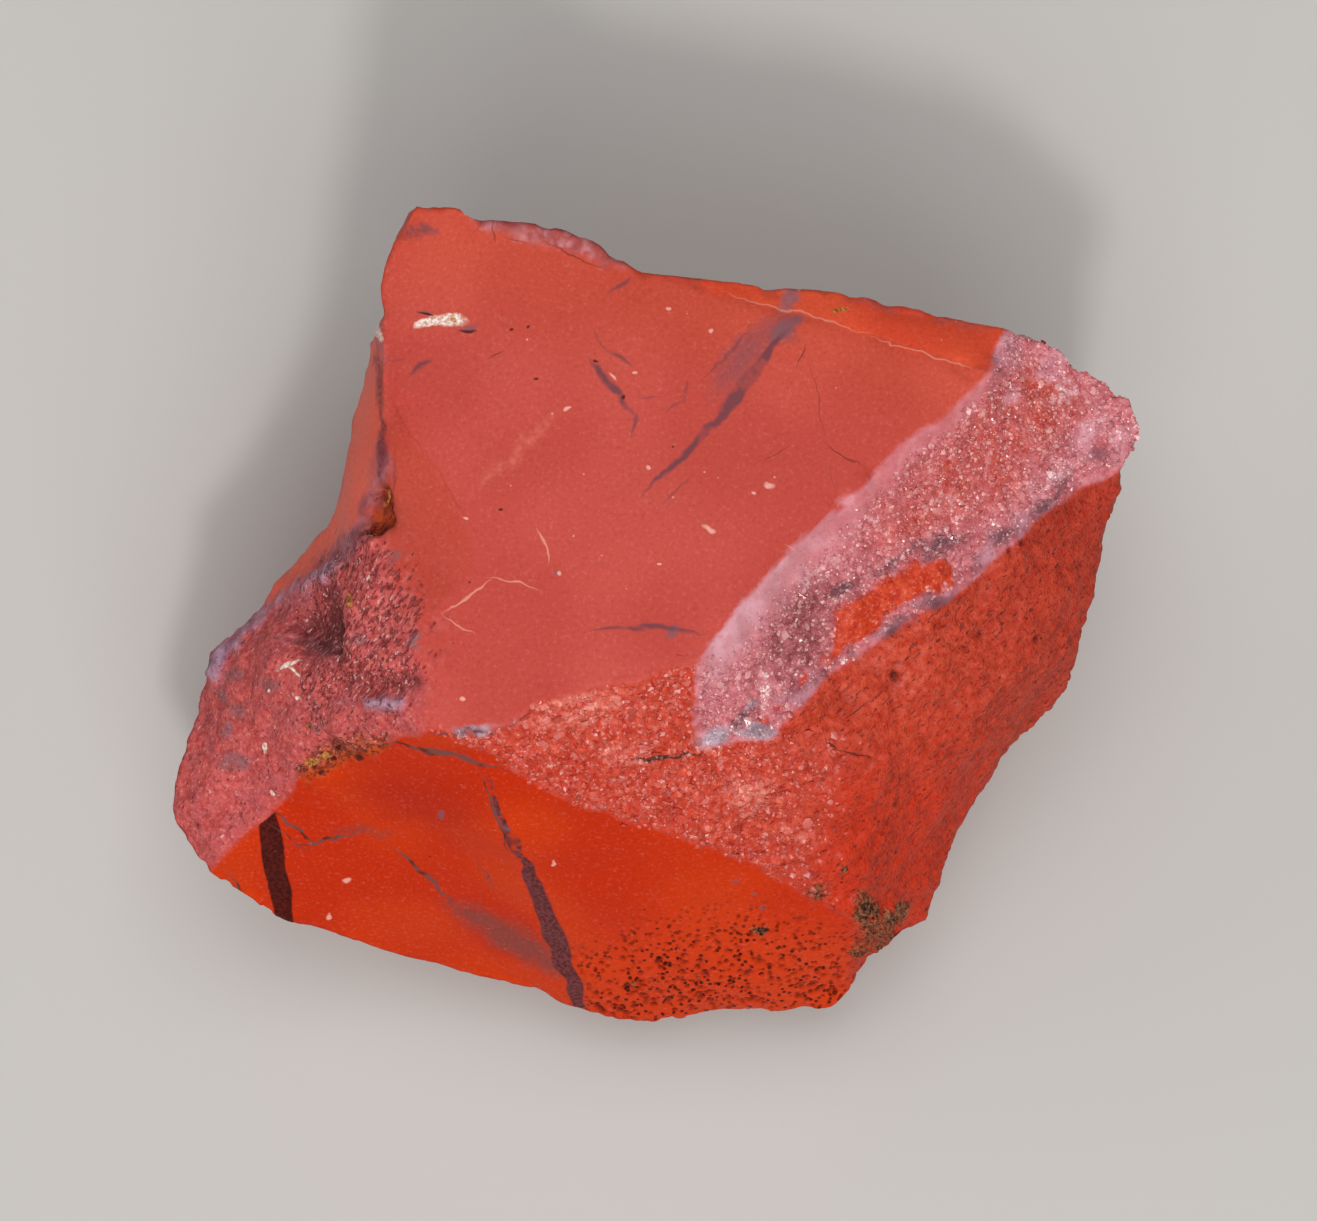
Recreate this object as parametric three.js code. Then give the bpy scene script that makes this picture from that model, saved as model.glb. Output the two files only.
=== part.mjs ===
// A raw chunk of red jasper: one solid stone with fracture faces, a quartz bevel and a flat resting face.
// Millimetres, +Z up. The origin is under the middle of the stone, on the face that it rests on.

import * as THREE from 'three';
import { ImprovedNoise } from 'three/addons/math/ImprovedNoise.js';

// Driving dimensions
const STONE_WIDTH = 50;
const TOP_HEIGHT = 27;
const RIM_HEIGHT = 13;
const FOOT_HEIGHT = 4;

// The corners are laid out as they look from above the front edge: so far right and so far up across
// the view, at a height over the table. These three say where that view is taken from.
const VIEW_ELEVATION = THREE.MathUtils.degToRad(79);
const VIEW_DISTANCE = 450;
const VIEW_MIDDLE = 15;

// Longest triangle side on plain faces, on rough faces and on the resting face
const PLAIN_SIDE = 1.75;
const ROUGH_SIDE = 1.2;
const HIDDEN_SIDE = 2.1;
const RESTING_SIDE = 4;

// Waviness of the whole stone, and how its edges wander where chips came off
const WARP_HEIGHT = 0.3;
const WARP_LENGTH = 6.5;
const CHIP_HEIGHT = 0.22;
const CHIP_LENGTH = 1.7;
const CRYSTAL_SEED = 7;

const perlin = new ImprovedNoise();

function seen(right, up, height) {
  const nearer = (VIEW_DISTANCE - (height - VIEW_MIDDLE)) / VIEW_DISTANCE;
  const rise = (height - VIEW_MIDDLE) * Math.cos(VIEW_ELEVATION);
  return new THREE.Vector3(right * nearer, (up * nearer - rise) / Math.sin(VIEW_ELEVATION), height);
}

function at(x, y, z) {
  return new THREE.Vector3(x, y, z);
}

// Corners where three or more faces meet
const corners = {
  apex: seen(-12.8, 21.1, TOP_HEIGHT),
  chamferLeft: seen(-0.8, 17.5, TOP_HEIGHT - 0.5),
  chamferFoot: seen(17.1, 12.3, TOP_HEIGHT - 0.7),
  chamferBack: seen(18.0, 14.7, TOP_HEIGHT - 2.4),
  bevelFoot: seen(1.9, -2.8, TOP_HEIGHT - 0.8),
  bevelHeel: seen(5.9, -6.5, 22.4),
  tip: seen(23.8, 7.3, 20),
  bandLeft: seen(-11.9, -6.3, 24.6),
  creaseFoot: seen(-12.8, -1.1, 25.6),
  notchTop: seen(-15.5, 3.9, 25),
  notchFoot: seen(-16.9, 5.1, 20.5),
  stripTop: seen(-14.3, 14.6, TOP_HEIGHT - 0.6),
  knobLeft: seen(-22.5, -1.9, RIM_HEIGHT + 1),
  frontLeft: seen(-23.1, -13.2, RIM_HEIGHT - 1),
  frontRight: seen(10.0, -19.4, FOOT_HEIGHT + 1),
  ridgeFoot: seen(10.0, -15.9, RIM_HEIGHT + 0.5),
  hip: seen(11.9, -5.7, 20.5),
  shoulder: seen(21.7, -2.4, 15.5),
  veinTop: seen(-8.6, -7.2, 24.2),
  veinFoot: seen(-3.9, -20.5, FOOT_HEIGHT + 0.5),

  backLeft: at(-13.9, 17.2, 12),
  backMiddle: at(-1, 16.8, 13),
  backRight: at(15.5, 14.6, 11.5),
  rightSide: at(22.6, 7.6, 9),

  restBackLeft: at(-11.5, 11.5, 0),
  restBack: at(3, 14, 0),
  restBackRight: at(13, 10, 0),
  restRight: at(15.5, -2.5, 0),
  restFrontRight: at(7.5, -13.5, 0),
  restFront: at(-6, -15, 0),
  restFrontLeft: at(-18.5, -9.5, 0),
  restLeft: at(-18, 1, 0),
};

// The bends of each edge between two corners. An edge that is left out runs straight.
const bends = {
  'apex chamferLeft': [
    seen(-10.4, 20.9, 27), seen(-9.3, 20.2, 27), seen(-5.9, 20.0, 26.8), seen(-3.5, 19.2, 26.6),
  ],
  'chamferLeft chamferBack': [seen(3.2, 17.3, 26), seen(8.6, 16.6, 25.4), seen(14.0, 15.5, 25)],
  'chamferLeft chamferFoot': [seen(5.9, 15.5, 26.4), seen(11.3, 14.2, 26.3)],
  'chamferFoot bevelFoot': [
    seen(14.6, 9.7, 26.3), seen(12.6, 8.6, 26.3), seen(10.1, 6.2, 26.3), seen(6.9, 3.1, 26.3),
    seen(4.3, 0, 26.3),
  ],
  'bevelFoot bevelHeel': [seen(1.8, -5.1, 24.4), seen(2.6, -7.0, 22.8)],
  'bevelHeel tip': [
    seen(8.6, -3.6, 22.4), seen(11.3, -1.5, 22.3), seen(15.4, 0.8, 22.2), seen(18.4, 3.6, 21.7),
    seen(21.5, 6.1, 20.8),
  ],
  'chamferBack tip': [
    seen(20.8, 13.5, 23.2), seen(22.1, 12.3, 22.4), seen(24.4, 10.9, 21), seen(24.8, 9.3, 20.5),
  ],
  'bandLeft bevelFoot': [seen(-7.7, -6.2, 24.9), seen(-6.2, -4.9, 25.6), seen(-2.2, -3.9, 26)],
  'bandLeft creaseFoot': [seen(-12.0, -3.6, 25.2)],
  'creaseFoot notchTop': [seen(-14.3, 1.6, 25)],
  'creaseFoot stripTop': [
    seen(-11.3, 0.3, 26.2), seen(-9.9, 3.0, 26.5), seen(-10.7, 6.5, 26.5), seen(-13.0, 10.8, 26.5),
  ],
  'notchTop stripTop': [seen(-14.4, 6.8, 25.6), seen(-14.2, 10.8, 26)],
  'stripTop apex': [seen(-14.4, 17.6, 26.4), seen(-13.6, 19.7, 26.8)],
  'stripTop notchFoot': [seen(-14.7, 14.9, 25), seen(-15.2, 13.2, 23.2), seen(-16.3, 7.8, 21.2)],
  'notchFoot knobLeft': [seen(-17.3, 4.2, 19.5), seen(-19.4, 2.0, 16.5), seen(-21.1, -0.7, 14.6)],
  'notchTop knobLeft': [seen(-16.3, 3.0, 23), seen(-18.1, 1.5, 20), seen(-20.0, 0, 17)],
  'knobLeft frontLeft': [
    seen(-23.2, -3.8, 13.4), seen(-24.2, -6.2, 12.8), seen(-25.0, -8.2, 12.5), seen(-25.1, -10.5, 12.2),
    seen(-24.0, -12.2, 12),
  ],
  'frontLeft bandLeft': [
    seen(-20.8, -11.2, 14.5), seen(-19.6, -10.0, 15.8), seen(-18.2, -8.5, 18.2), seen(-16.3, -7.3, 20.8),
    seen(-14.2, -6.8, 22.6),
  ],
  'veinTop ridgeFoot': [
    seen(-7.3, -8.2, 23.6), seen(-5.1, -9.7, 22.3), seen(-0.9, -11.1, 20.4), seen(3.4, -12.3, 18.4),
    seen(7.6, -14.6, 15.2),
  ],
  'frontLeft veinFoot': [
    seen(-20.4, -15.7, 9.5), seen(-17.0, -16.5, 8), seen(-13.6, -17.6, 6.5), seen(-9.6, -18.6, 5.5),
    seen(-6.2, -19.6, 5),
  ],
  'veinFoot frontRight': [
    seen(-2.2, -21.1, 4.1), seen(0.9, -21.1, FOOT_HEIGHT), seen(3.2, -20.4, 4), seen(8.9, -20.5, 4.6),
  ],
  'veinTop veinFoot': [seen(-7.9, -11.6, 19.5), seen(-6.3, -15.3, 13.5), seen(-4.9, -18.4, 8)],
  'ridgeFoot hip': [seen(10.7, -12.7, 16), seen(11.5, -8.6, 18.8)],
  'hip shoulder': [seen(14.0, -5.5, 19.2), seen(16.7, -4.9, 18), seen(18.9, -3.9, 17)],
  'tip shoulder': [seen(23.9, 6.1, 19.2), seen(23.0, 3.1, 17.8), seen(22.1, -0.7, 16.2)],
  'shoulder frontRight': [
    seen(20.7, -4.3, 12.5), seen(18.9, -6.2, 11.2), seen(17.6, -7.7, 10.2), seen(15.9, -10.4, 9.2),
    seen(14.7, -11.9, 8.4), seen(14.2, -14.2, 7.4), seen(13.6, -16.2, 6.6), seen(12.2, -17.6, 6),
    seen(10.7, -18.1, 5.6),
  ],
};

// Each face of the stone: its corners, anticlockwise from outside, how far its middle stands out (or
// lies hollow, where negative), the height of its grain and of its crystals, and its longest triangle
// side.
const faces = {
  waxyTop: {
    loop: 'apex stripTop creaseFoot bandLeft bevelFoot chamferFoot chamferLeft',
    swell: 0.35, grain: 0.05, side: PLAIN_SIDE,
  },
  leftPlane: { loop: 'stripTop notchTop creaseFoot', swell: 0.1, grain: 0.07, side: PLAIN_SIDE },
  leftStrip: { loop: 'stripTop notchFoot notchTop', swell: 0.2, grain: 0.1, side: PLAIN_SIDE },
  kneeSlope: { loop: 'notchTop notchFoot knobLeft', swell: -0.4, grain: 0.12, side: ROUGH_SIDE },
  roughKnob: {
    loop: 'notchTop knobLeft frontLeft bandLeft creaseFoot',
    swell: 1.1, grain: 0.45, side: ROUGH_SIDE,
  },
  frontHollow: {
    loop: 'frontLeft veinFoot veinTop bandLeft',
    swell: -0.5, grain: 0.08, side: PLAIN_SIDE,
  },
  frontFracture: {
    loop: 'veinFoot frontRight ridgeFoot veinTop',
    swell: 0.7, grain: 0.08, side: PLAIN_SIDE,
  },
  sugaryBand: {
    loop: 'bandLeft veinTop ridgeFoot hip bevelHeel bevelFoot',
    swell: 0.3, grain: 0.24, side: ROUGH_SIDE,
  },
  quartzBevel: {
    loop: 'bevelFoot bevelHeel tip chamferBack chamferFoot',
    swell: -0.35, grain: 0.25, crystals: 0.22, side: ROUGH_SIDE,
  },
  rightSlope: { loop: 'bevelHeel hip shoulder tip', swell: 0.5, grain: 0.3, side: ROUGH_SIDE },
  rightFace: { loop: 'hip ridgeFoot frontRight shoulder', swell: 0.3, grain: 0.3, side: ROUGH_SIDE },
  backChamfer: { loop: 'chamferLeft chamferFoot chamferBack', swell: 0.05, grain: 0.05, side: PLAIN_SIDE },

  leftHollow: {
    loop: 'apex backLeft restBackLeft restLeft notchFoot stripTop',
    swell: -0.9, grain: 0.1, side: HIDDEN_SIDE,
  },
  knobUnderside: {
    loop: 'notchFoot restLeft restFrontLeft frontLeft knobLeft',
    swell: 1.7, grain: 0.35, side: HIDDEN_SIDE,
  },
  backUpper: { loop: 'apex chamferLeft backMiddle backLeft', swell: -0.4, grain: 0.12, side: HIDDEN_SIDE },
  backLower: { loop: 'backLeft backMiddle restBack restBackLeft', swell: 0.6, grain: 0.3, side: HIDDEN_SIDE },
  backRightUpper: {
    loop: 'chamferLeft chamferBack backRight backMiddle',
    swell: -1.0, grain: 0.1, side: HIDDEN_SIDE,
  },
  backRightLower: {
    loop: 'backMiddle backRight restBackRight restBack',
    swell: 0.5, grain: 0.3, side: HIDDEN_SIDE,
  },
  tipSide: { loop: 'chamferBack tip rightSide backRight', swell: 1.2, grain: 0.2, side: HIDDEN_SIDE },
  tipUnderside: {
    loop: 'backRight rightSide restRight restBackRight',
    swell: 0.4, grain: 0.3, side: HIDDEN_SIDE,
  },
  rightUnderside: {
    loop: 'tip shoulder frontRight restFrontRight restRight rightSide',
    swell: 0.6, grain: 0.3, side: HIDDEN_SIDE,
  },
  frontUnderside: {
    loop: 'frontRight veinFoot frontLeft restFrontLeft restFront restFrontRight',
    swell: 0.5, grain: 0.3, side: HIDDEN_SIDE,
  },
  restingFace: {
    loop: 'restLeft restBackLeft restBack restBackRight restRight restFrontRight restFront restFrontLeft',
    swell: 0, grain: 0, side: RESTING_SIDE,
  },
};

// Small hollows pressed into the stone: a cavity beside the left ridge, a worn basin in the rough knob
// and three bites out of its edges
const dents = [
  { place: seen(-14.9, 5.4, 25.2), radius: 1.7, depth: 0.9 },
  { place: seen(-17.6, -1.4, 19.5), radius: 3.2, depth: 0.9 },
  { place: seen(-17.0, -7.6, 19.8), radius: 1.9, depth: 0.6 },
  { place: seen(12.9, -17.0, 6.8), radius: 3, depth: 0.4 },
  { place: seen(-21.2, -15.1, 10), radius: 3, depth: 0.4 },
];

// Shared points of the skin, the number of each corner among them, and the edges between two faces
const points = [];
const cornerNumber = {};
const edgeRun = {};
const borderEdges = new Set();

function addPoint(point) {
  points.push(point.clone());
  return points.length - 1;
}

function pairName(a, b) {
  return a < b ? `${a} ${b}` : `${b} ${a}`;
}

for (const [name, place] of Object.entries(corners)) {
  cornerNumber[name] = addPoint(place);
}

// The point numbers from one corner to the next, both of them included
function runBetween(from, to) {
  const backwards = edgeRun[`${to} ${from}`];
  if (backwards) {
    return [...backwards].reverse();
  }
  const drawn = bends[`${from} ${to}`];
  const drawnBackwards = bends[`${to} ${from}`];
  const between = drawn ?? [...(drawnBackwards ?? [])].reverse();
  const run = [cornerNumber[from], ...between.map(addPoint), cornerNumber[to]];
  edgeRun[`${from} ${to}`] = run;
  run.slice(1).forEach((number, i) => borderEdges.add(pairName(run[i], number)));
  return run;
}

// Flat triangles that fill a loop of points, laid out on the plane that fits the loop best
function fillLoop(loop) {
  const normal = new THREE.Vector3();
  loop.forEach((number, i) => {
    const here = points[number];
    const next = points[loop[(i + 1) % loop.length]];
    normal.x += (here.y - next.y) * (here.z + next.z);
    normal.y += (here.z - next.z) * (here.x + next.x);
    normal.z += (here.x - next.x) * (here.y + next.y);
  });
  normal.normalize();
  const turn = new THREE.Quaternion().setFromUnitVectors(normal, new THREE.Vector3(0, 0, 1));
  const flat = loop.map((number) => {
    const turned = points[number].clone().applyQuaternion(turn);
    return new THREE.Vector2(turned.x, turned.y);
  });
  return THREE.ShapeUtils.triangulateShape(flat, []).map((triple) => triple.map((i) => loop[i]));
}

let triangles = [];
for (const [name, face] of Object.entries(faces)) {
  const stops = face.loop.split(' ');
  const loop = stops.flatMap((stop, i) => runBetween(stop, stops[(i + 1) % stops.length]).slice(0, -1));
  for (const triple of fillLoop(loop)) {
    triangles.push({ triple, face: name });
  }
}

// Every edge of the skin, with its two ends and the triangles on its two sides. Two faces may each have
// a diagonal between the same two points, so a diagonal is told apart by its face.
function listEdges() {
  const edges = new Map();
  triangles.forEach(({ triple, face }, number) => {
    for (let i = 0; i < 3; i += 1) {
      const a = triple[i];
      const b = triple[(i + 1) % 3];
      const pair = pairName(a, b);
      const border = borderEdges.has(pair);
      const key = border ? pair : `${pair} ${face}`;
      if (!edges.has(key)) {
        edges.set(key, { a, b, border, sides: [] });
      }
      edges.get(key).sides.push(number);
    }
  });
  return edges;
}

// Points on the edges between two faces, which stay where they are while the faces are smoothed
function listBorderPoints() {
  return new Set([...borderEdges].flatMap((pair) => pair.split(' ').map(Number)));
}

function oppositePoint(triple, a, b) {
  return triple.find((number) => number !== a && number !== b);
}

// Cuts every edge that is too long for its faces in half, the longest ones first
function splitLongEdges() {
  let found = false;
  const long = [];
  for (const edge of listEdges().values()) {
    const length = points[edge.a].distanceTo(points[edge.b]);
    const limit = Math.min(...edge.sides.map((number) => faces[triangles[number].face].side));
    if (length > limit) {
      long.push({ ...edge, excess: length / limit });
    }
  }
  long.sort((one, other) => other.excess - one.excess);
  const touched = new Set();
  for (const { a, b, border, sides } of long) {
    if (sides.some((number) => touched.has(number))) {
      continue;
    }
    found = true;
    const middle = addPoint(points[a].clone().lerp(points[b], 0.5));
    if (border) {
      borderEdges.delete(pairName(a, b));
      borderEdges.add(pairName(a, middle));
      borderEdges.add(pairName(middle, b));
    }
    for (const number of sides) {
      touched.add(number);
      const { triple, face } = triangles[number];
      triangles[number] = { triple: triple.map((p) => (p === b ? middle : p)), face };
      triangles.push({ triple: triple.map((p) => (p === a ? middle : p)), face });
      touched.add(triangles.length - 1);
    }
  }
  return found;
}

function angleAt(top, one, other) {
  return points[one].clone().sub(points[top]).angleTo(points[other].clone().sub(points[top]));
}

function normalOf([a, b, c]) {
  const normal = points[b].clone().sub(points[a]);
  return normal.cross(points[c].clone().sub(points[a])).normalize();
}

// Turns an edge inside a face where the other diagonal gives rounder triangles
function turnEdges() {
  const edges = [...listEdges().values()];
  const taken = new Set(edges.map(({ a, b }) => pairName(a, b)));
  const touched = new Set();
  for (const { a, b, border, sides } of edges) {
    const [first, second] = sides;
    if (border || touched.has(first) || touched.has(second)) {
      continue;
    }
    const c = oppositePoint(triangles[first].triple, a, b);
    const d = oppositePoint(triangles[second].triple, a, b);
    if (angleAt(c, a, b) + angleAt(d, a, b) <= Math.PI + 0.01 || taken.has(pairName(c, d))) {
      continue;
    }
    const oneTriple = triangles[first].triple.map((p) => (p === b ? d : p));
    const otherTriple = triangles[second].triple.map((p) => (p === a ? c : p));
    const steady = normalOf(triangles[first].triple).add(normalOf(triangles[second].triple));
    if (normalOf(oneTriple).dot(steady) < 0.2 || normalOf(otherTriple).dot(steady) < 0.2) {
      continue;
    }
    triangles[first] = { triple: oneTriple, face: triangles[first].face };
    triangles[second] = { triple: otherTriple, face: triangles[second].face };
    taken.add(pairName(c, d));
    touched.add(first);
    touched.add(second);
  }
}

function listNeighbours() {
  const neighbours = points.map(() => []);
  for (const { a, b } of listEdges().values()) {
    neighbours[a].push(b);
    neighbours[b].push(a);
  }
  return neighbours;
}

// Draws the points inside each face towards the middle of their neighbours, like a soap film
function relax(rounds) {
  const neighbours = listNeighbours();
  const border = listBorderPoints();
  for (let round = 0; round < rounds; round += 1) {
    points.forEach((point, number) => {
      if (border.has(number)) {
        return;
      }
      const middle = new THREE.Vector3();
      neighbours[number].forEach((other) => middle.add(points[other]));
      point.lerp(middle.divideScalar(neighbours[number].length), 0.8);
    });
  }
}

while (splitLongEdges()) {
  turnEdges();
  turnEdges();
  relax(4);
}
relax(60);

// The faces that meet at each point, and the mean normal there
const facesAt = points.map(() => new Set());
const normals = points.map(() => new THREE.Vector3());
function measurePoints() {
  normals.forEach((normal) => normal.set(0, 0, 0));
  for (const { triple, face } of triangles) {
    const normal = normalOf(triple);
    for (const number of triple) {
      facesAt[number].add(face);
      normals[number].add(normal);
    }
  }
  normals.forEach((normal) => normal.normalize());
}
measurePoints();

// Swells or hollows each face: nothing at its edges, most in its middle
function swellFaces() {
  const neighbours = listNeighbours();
  const border = listBorderPoints();
  const rise = points.map(() => 0);
  for (let round = 0; round < 300; round += 1) {
    points.forEach((_, number) => {
      if (!border.has(number)) {
        const sum = neighbours[number].reduce((total, other) => total + rise[other], 0);
        rise[number] = sum / neighbours[number].length + 1;
      }
    });
  }
  const most = {};
  points.forEach((_, number) => {
    const [face] = facesAt[number];
    most[face] = Math.max(most[face] ?? 1, border.has(number) ? 1 : rise[number]);
  });
  points.forEach((point, number) => {
    if (!border.has(number)) {
      const [face] = facesAt[number];
      point.addScaledVector(normals[number], (faces[face].swell * rise[number]) / most[face]);
    }
  });
}
swellFaces();
measurePoints();

function noiseAt(point, length, offset) {
  return perlin.noise(point.x / length + offset, point.y / length + offset * 2, point.z / length - offset);
}

// Grain: broad lumps with a finer lumpiness on them, and small steps where it is coarse
function grainAt(point, height) {
  const lumps = noiseAt(point, 3.1, 4.3) + 0.7 * noiseAt(point, 1.5, 9.1);
  const ledges = height > 0.2 ? Math.round(noiseAt(point, 4.4, 17.7) * 4) / 4 : 0;
  return height * (lumps + ledges);
}

function dentAt(point) {
  return dents.reduce((sum, { place, radius, depth }) => {
    const nearness = Math.max(0, 1 - (point.distanceTo(place) / radius) ** 2);
    return sum + depth * nearness ** 1.5;
  }, 0);
}

// The whole stone wanders a little, edges and all, and its grain and crystals stand on that
THREE.MathUtils.seededRandom(CRYSTAL_SEED);
points.forEach((point, number) => {
  const resting = facesAt[number].has('restingFace');
  const touching = [...facesAt[number]].map((name) => faces[name]);
  const grain = touching.reduce((sum, face) => sum + face.grain, 0) / touching.length;
  const onEdge = touching.length > 1 ? 1 : 0;
  const crystal = onEdge ? 0 : (touching[0].crystals ?? 0) * (2 * THREE.MathUtils.seededRandom() - 1);
  const start = point.clone();
  const wander = new THREE.Vector3(
    WARP_HEIGHT * noiseAt(start, WARP_LENGTH, 31.3) + onEdge * CHIP_HEIGHT * noiseAt(start, CHIP_LENGTH, 3.7),
    WARP_HEIGHT * noiseAt(start, WARP_LENGTH, 57.9) + onEdge * CHIP_HEIGHT * noiseAt(start, CHIP_LENGTH, 6.1),
    WARP_HEIGHT * noiseAt(start, WARP_LENGTH, 83.1) + onEdge * CHIP_HEIGHT * noiseAt(start, CHIP_LENGTH, 8.9),
  );
  point.add(wander);
  point.addScaledVector(normals[number], grainAt(start, grain) + crystal - dentAt(start));
  if (resting) {
    point.z = 0;
  }
});

// The finished skin, moved so that the origin lies under the middle of the stone
const box = new THREE.Box3().setFromPoints(points);
const middle = box.getCenter(new THREE.Vector3());
const scale = STONE_WIDTH / (box.max.x - box.min.x);
const positions = points.flatMap((point) => [
  (point.x - middle.x) * scale,
  (point.y - middle.y) * scale,
  point.z * scale,
]);

const geometry = new THREE.BufferGeometry();
geometry.setAttribute('position', new THREE.Float32BufferAttribute(positions, 3));
geometry.setIndex(triangles.flatMap(({ triple }) => triple));
geometry.computeVertexNormals();

const redJasper = new THREE.MeshStandardMaterial({ color: 0xb8452c, roughness: 0.55, metalness: 0 });
const stone = new THREE.Mesh(geometry, redJasper);
stone.name = 'jasper_chunk';

const part = new THREE.Group();
part.add(stone);

export default part;
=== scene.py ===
# A raw chunk of red jasper, finished: fracture grain, a crust of small quartz crystals and mineral veins.
import math

import bmesh
import bpy
import numpy as np
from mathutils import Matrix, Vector, noise
from mathutils.bvhtree import BVHTree


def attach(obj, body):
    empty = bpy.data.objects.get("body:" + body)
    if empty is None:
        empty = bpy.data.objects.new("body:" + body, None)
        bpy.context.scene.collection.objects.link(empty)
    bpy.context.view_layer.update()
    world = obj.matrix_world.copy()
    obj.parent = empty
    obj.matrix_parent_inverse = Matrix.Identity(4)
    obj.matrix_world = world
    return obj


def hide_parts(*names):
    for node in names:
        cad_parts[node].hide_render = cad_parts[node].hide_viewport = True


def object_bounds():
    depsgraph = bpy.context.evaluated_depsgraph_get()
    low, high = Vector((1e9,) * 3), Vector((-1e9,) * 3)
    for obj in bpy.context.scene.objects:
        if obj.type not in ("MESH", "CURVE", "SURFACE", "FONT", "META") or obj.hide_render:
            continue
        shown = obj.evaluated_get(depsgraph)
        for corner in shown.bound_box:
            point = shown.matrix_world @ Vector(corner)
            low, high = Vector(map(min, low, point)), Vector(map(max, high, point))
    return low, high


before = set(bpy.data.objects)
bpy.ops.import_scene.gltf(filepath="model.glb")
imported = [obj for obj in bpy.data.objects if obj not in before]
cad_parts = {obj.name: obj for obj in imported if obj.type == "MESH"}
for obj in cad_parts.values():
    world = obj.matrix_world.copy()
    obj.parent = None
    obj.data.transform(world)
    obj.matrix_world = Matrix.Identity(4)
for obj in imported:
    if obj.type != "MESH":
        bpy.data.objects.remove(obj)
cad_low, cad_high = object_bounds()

MM = 0.001

# The view from above the front edge, and the point of the stone that its middle looks at
VIEW_ELEVATION = math.radians(79)
VIEW_DISTANCE = 450 * MM
VIEW_MIDDLE = Vector((0.3, 0.6, 15)) * MM
FRAME_WIDTH = 68 * MM
SENSOR_WIDTH = 36
NEAREST_SHOWN = 10 * MM

# The chart is the picture plane through the view's middle: millimetres to the right and upwards, as the
# view shows the stone. Every outline, vein and spot below is drawn on it.
UP_AXIS = Vector((0, math.sin(VIEW_ELEVATION), math.cos(VIEW_ELEVATION)))
NEAR_AXIS = Vector((0, -math.cos(VIEW_ELEVATION), math.sin(VIEW_ELEVATION)))

# Edges of the main fracture faces
BEVEL_TOP_EDGE = [(17.1, 12.3), (14.6, 9.7), (12.6, 8.6), (10.1, 6.2), (6.9, 3.1), (4.3, 0), (1.9, -2.8)]
BEVEL_LOW_EDGE = [
    (5.9, -6.5), (8.6, -3.6), (11.3, -1.5), (15.4, 0.8), (18.4, 3.6), (21.5, 6.1), (23.8, 7.3),
]
BEVEL = BEVEL_TOP_EDGE + [(1.8, -5.1), (2.2, -7.1)] + BEVEL_LOW_EDGE + [(27, 8), (26, 13), (18.4, 16)]
BAND_TOP_EDGE = [(-11.9, -6.3), (-7.7, -6.2), (-6.2, -4.9), (-2.2, -3.9), (1.9, -2.8)]
FRONT_TOP_EDGE = [
    (-23.1, -13.2), (-20.8, -11.2), (-19.6, -10), (-18.2, -8.5), (-16.3, -7.3), (-14.2, -6.8),
    (-11.9, -6.3), (-8.6, -7.2), (-7.3, -8.2), (-5.1, -9.7), (-0.9, -11.1), (3.4, -12.3), (7.6, -14.6),
    (10, -15.9),
]
RIDGE = [(10, -15.9), (10.7, -12.7), (11.5, -8.6), (11.9, -5.7)]
BAND = BAND_TOP_EDGE + [(1.8, -5.1), (2.2, -7.1), (5.9, -6.5)] + RIDGE[:0:-1] + FRONT_TOP_EDGE[:6:-1]
FRONT = FRONT_TOP_EDGE + [(10.2, -21), (0, -24), (-12, -21), (-24, -17)]
RIGHT = BEVEL_LOW_EDGE + [(28, 6), (26, -4), (18, -14), (14, -21), (10, -21)] + RIDGE
KNOB = [(-15.5, 3.9), (-15, 4.2), (-14.4, 2.8), (-13.4, 0.8), (-12.8, -1.4), (-12.2, -3.6), (-12, -6.2)]
KNOB += FRONT_TOP_EDGE[5::-1] + [(-28, -13), (-28, -2), (-22.5, -1.4), (-20, 0.4)]
KNOB += [(-18.1, 1.9), (-16.3, 3.4)]
LEFT_STRIP = [
    (-15.2, 14.6), (-14.2, 13.6), (-14.3, 6.4), (-15.8, 4), (-18.2, 1.9), (-22.4, -1.3), (-25, 1),
    (-17, 16),
]
# The knee: a facet that tilts to the left, painted darker and more orange than the top as painted shade
SHADED_KNEE = [
    (-13.8, 10.6), (-13.4, 10.2), (-11.7, 7.4), (-9.8, 4.4), (-9.6, 3), (-10.6, 0.6), (-12.4, 1),
    (-14.2, 4), (-14.2, 7),
]
CHAMFER = [
    (2.4, 16.6), (5.9, 15.7), (8.6, 14.9), (12.7, 13.6), (17.1, 12.3), (18.2, 15), (14, 17), (2, 19),
]

# Patches on those faces
LILAC_BAND = [
    (23.9, 7.3), (21.5, 4.9), (19.2, 3.6), (16.7, 1.6), (15.3, 0.3), (14, -0.6), (12.3, -1.3),
    (10.7, -2.6), (8.6, -4.1), (6.4, -5.6), (6, -4.6), (7.3, -3.4), (9.3, -2.3), (11.7, -0.8),
    (13.4, 0.4), (14.8, 1.3), (16.2, 3.2), (18.4, 4.9), (20.8, 6.9), (23.4, 9.9),
]
DARK_DRUSE = [
    (5.3, -3.2), (5.4, -0.8), (6, 1.2), (7.4, 2.2), (9, 1.6), (10.4, 1.2), (9, -0.2), (8.8, -2.4),
    (7, -3.4),
]
RED_DRUSE = [
    (10.6, 3.4), (11.6, 5.6), (13.8, 8), (16.4, 10.6), (18.8, 12.6), (21, 12), (22, 10), (19.8, 8.2),
    (18, 5.6), (15.6, 4.6), (12.8, 3.4),
]
SMALL_REDS = [
    ((7.5, -3.5), 0.6, 0.22, 45), ((5.3, -5.6), 0.45, 0.16, 15), ((6.1, -5.2), 0.3, 0.2, 40),
    ((9.2, 5.2), 0.4, 0.3),
]
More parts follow.
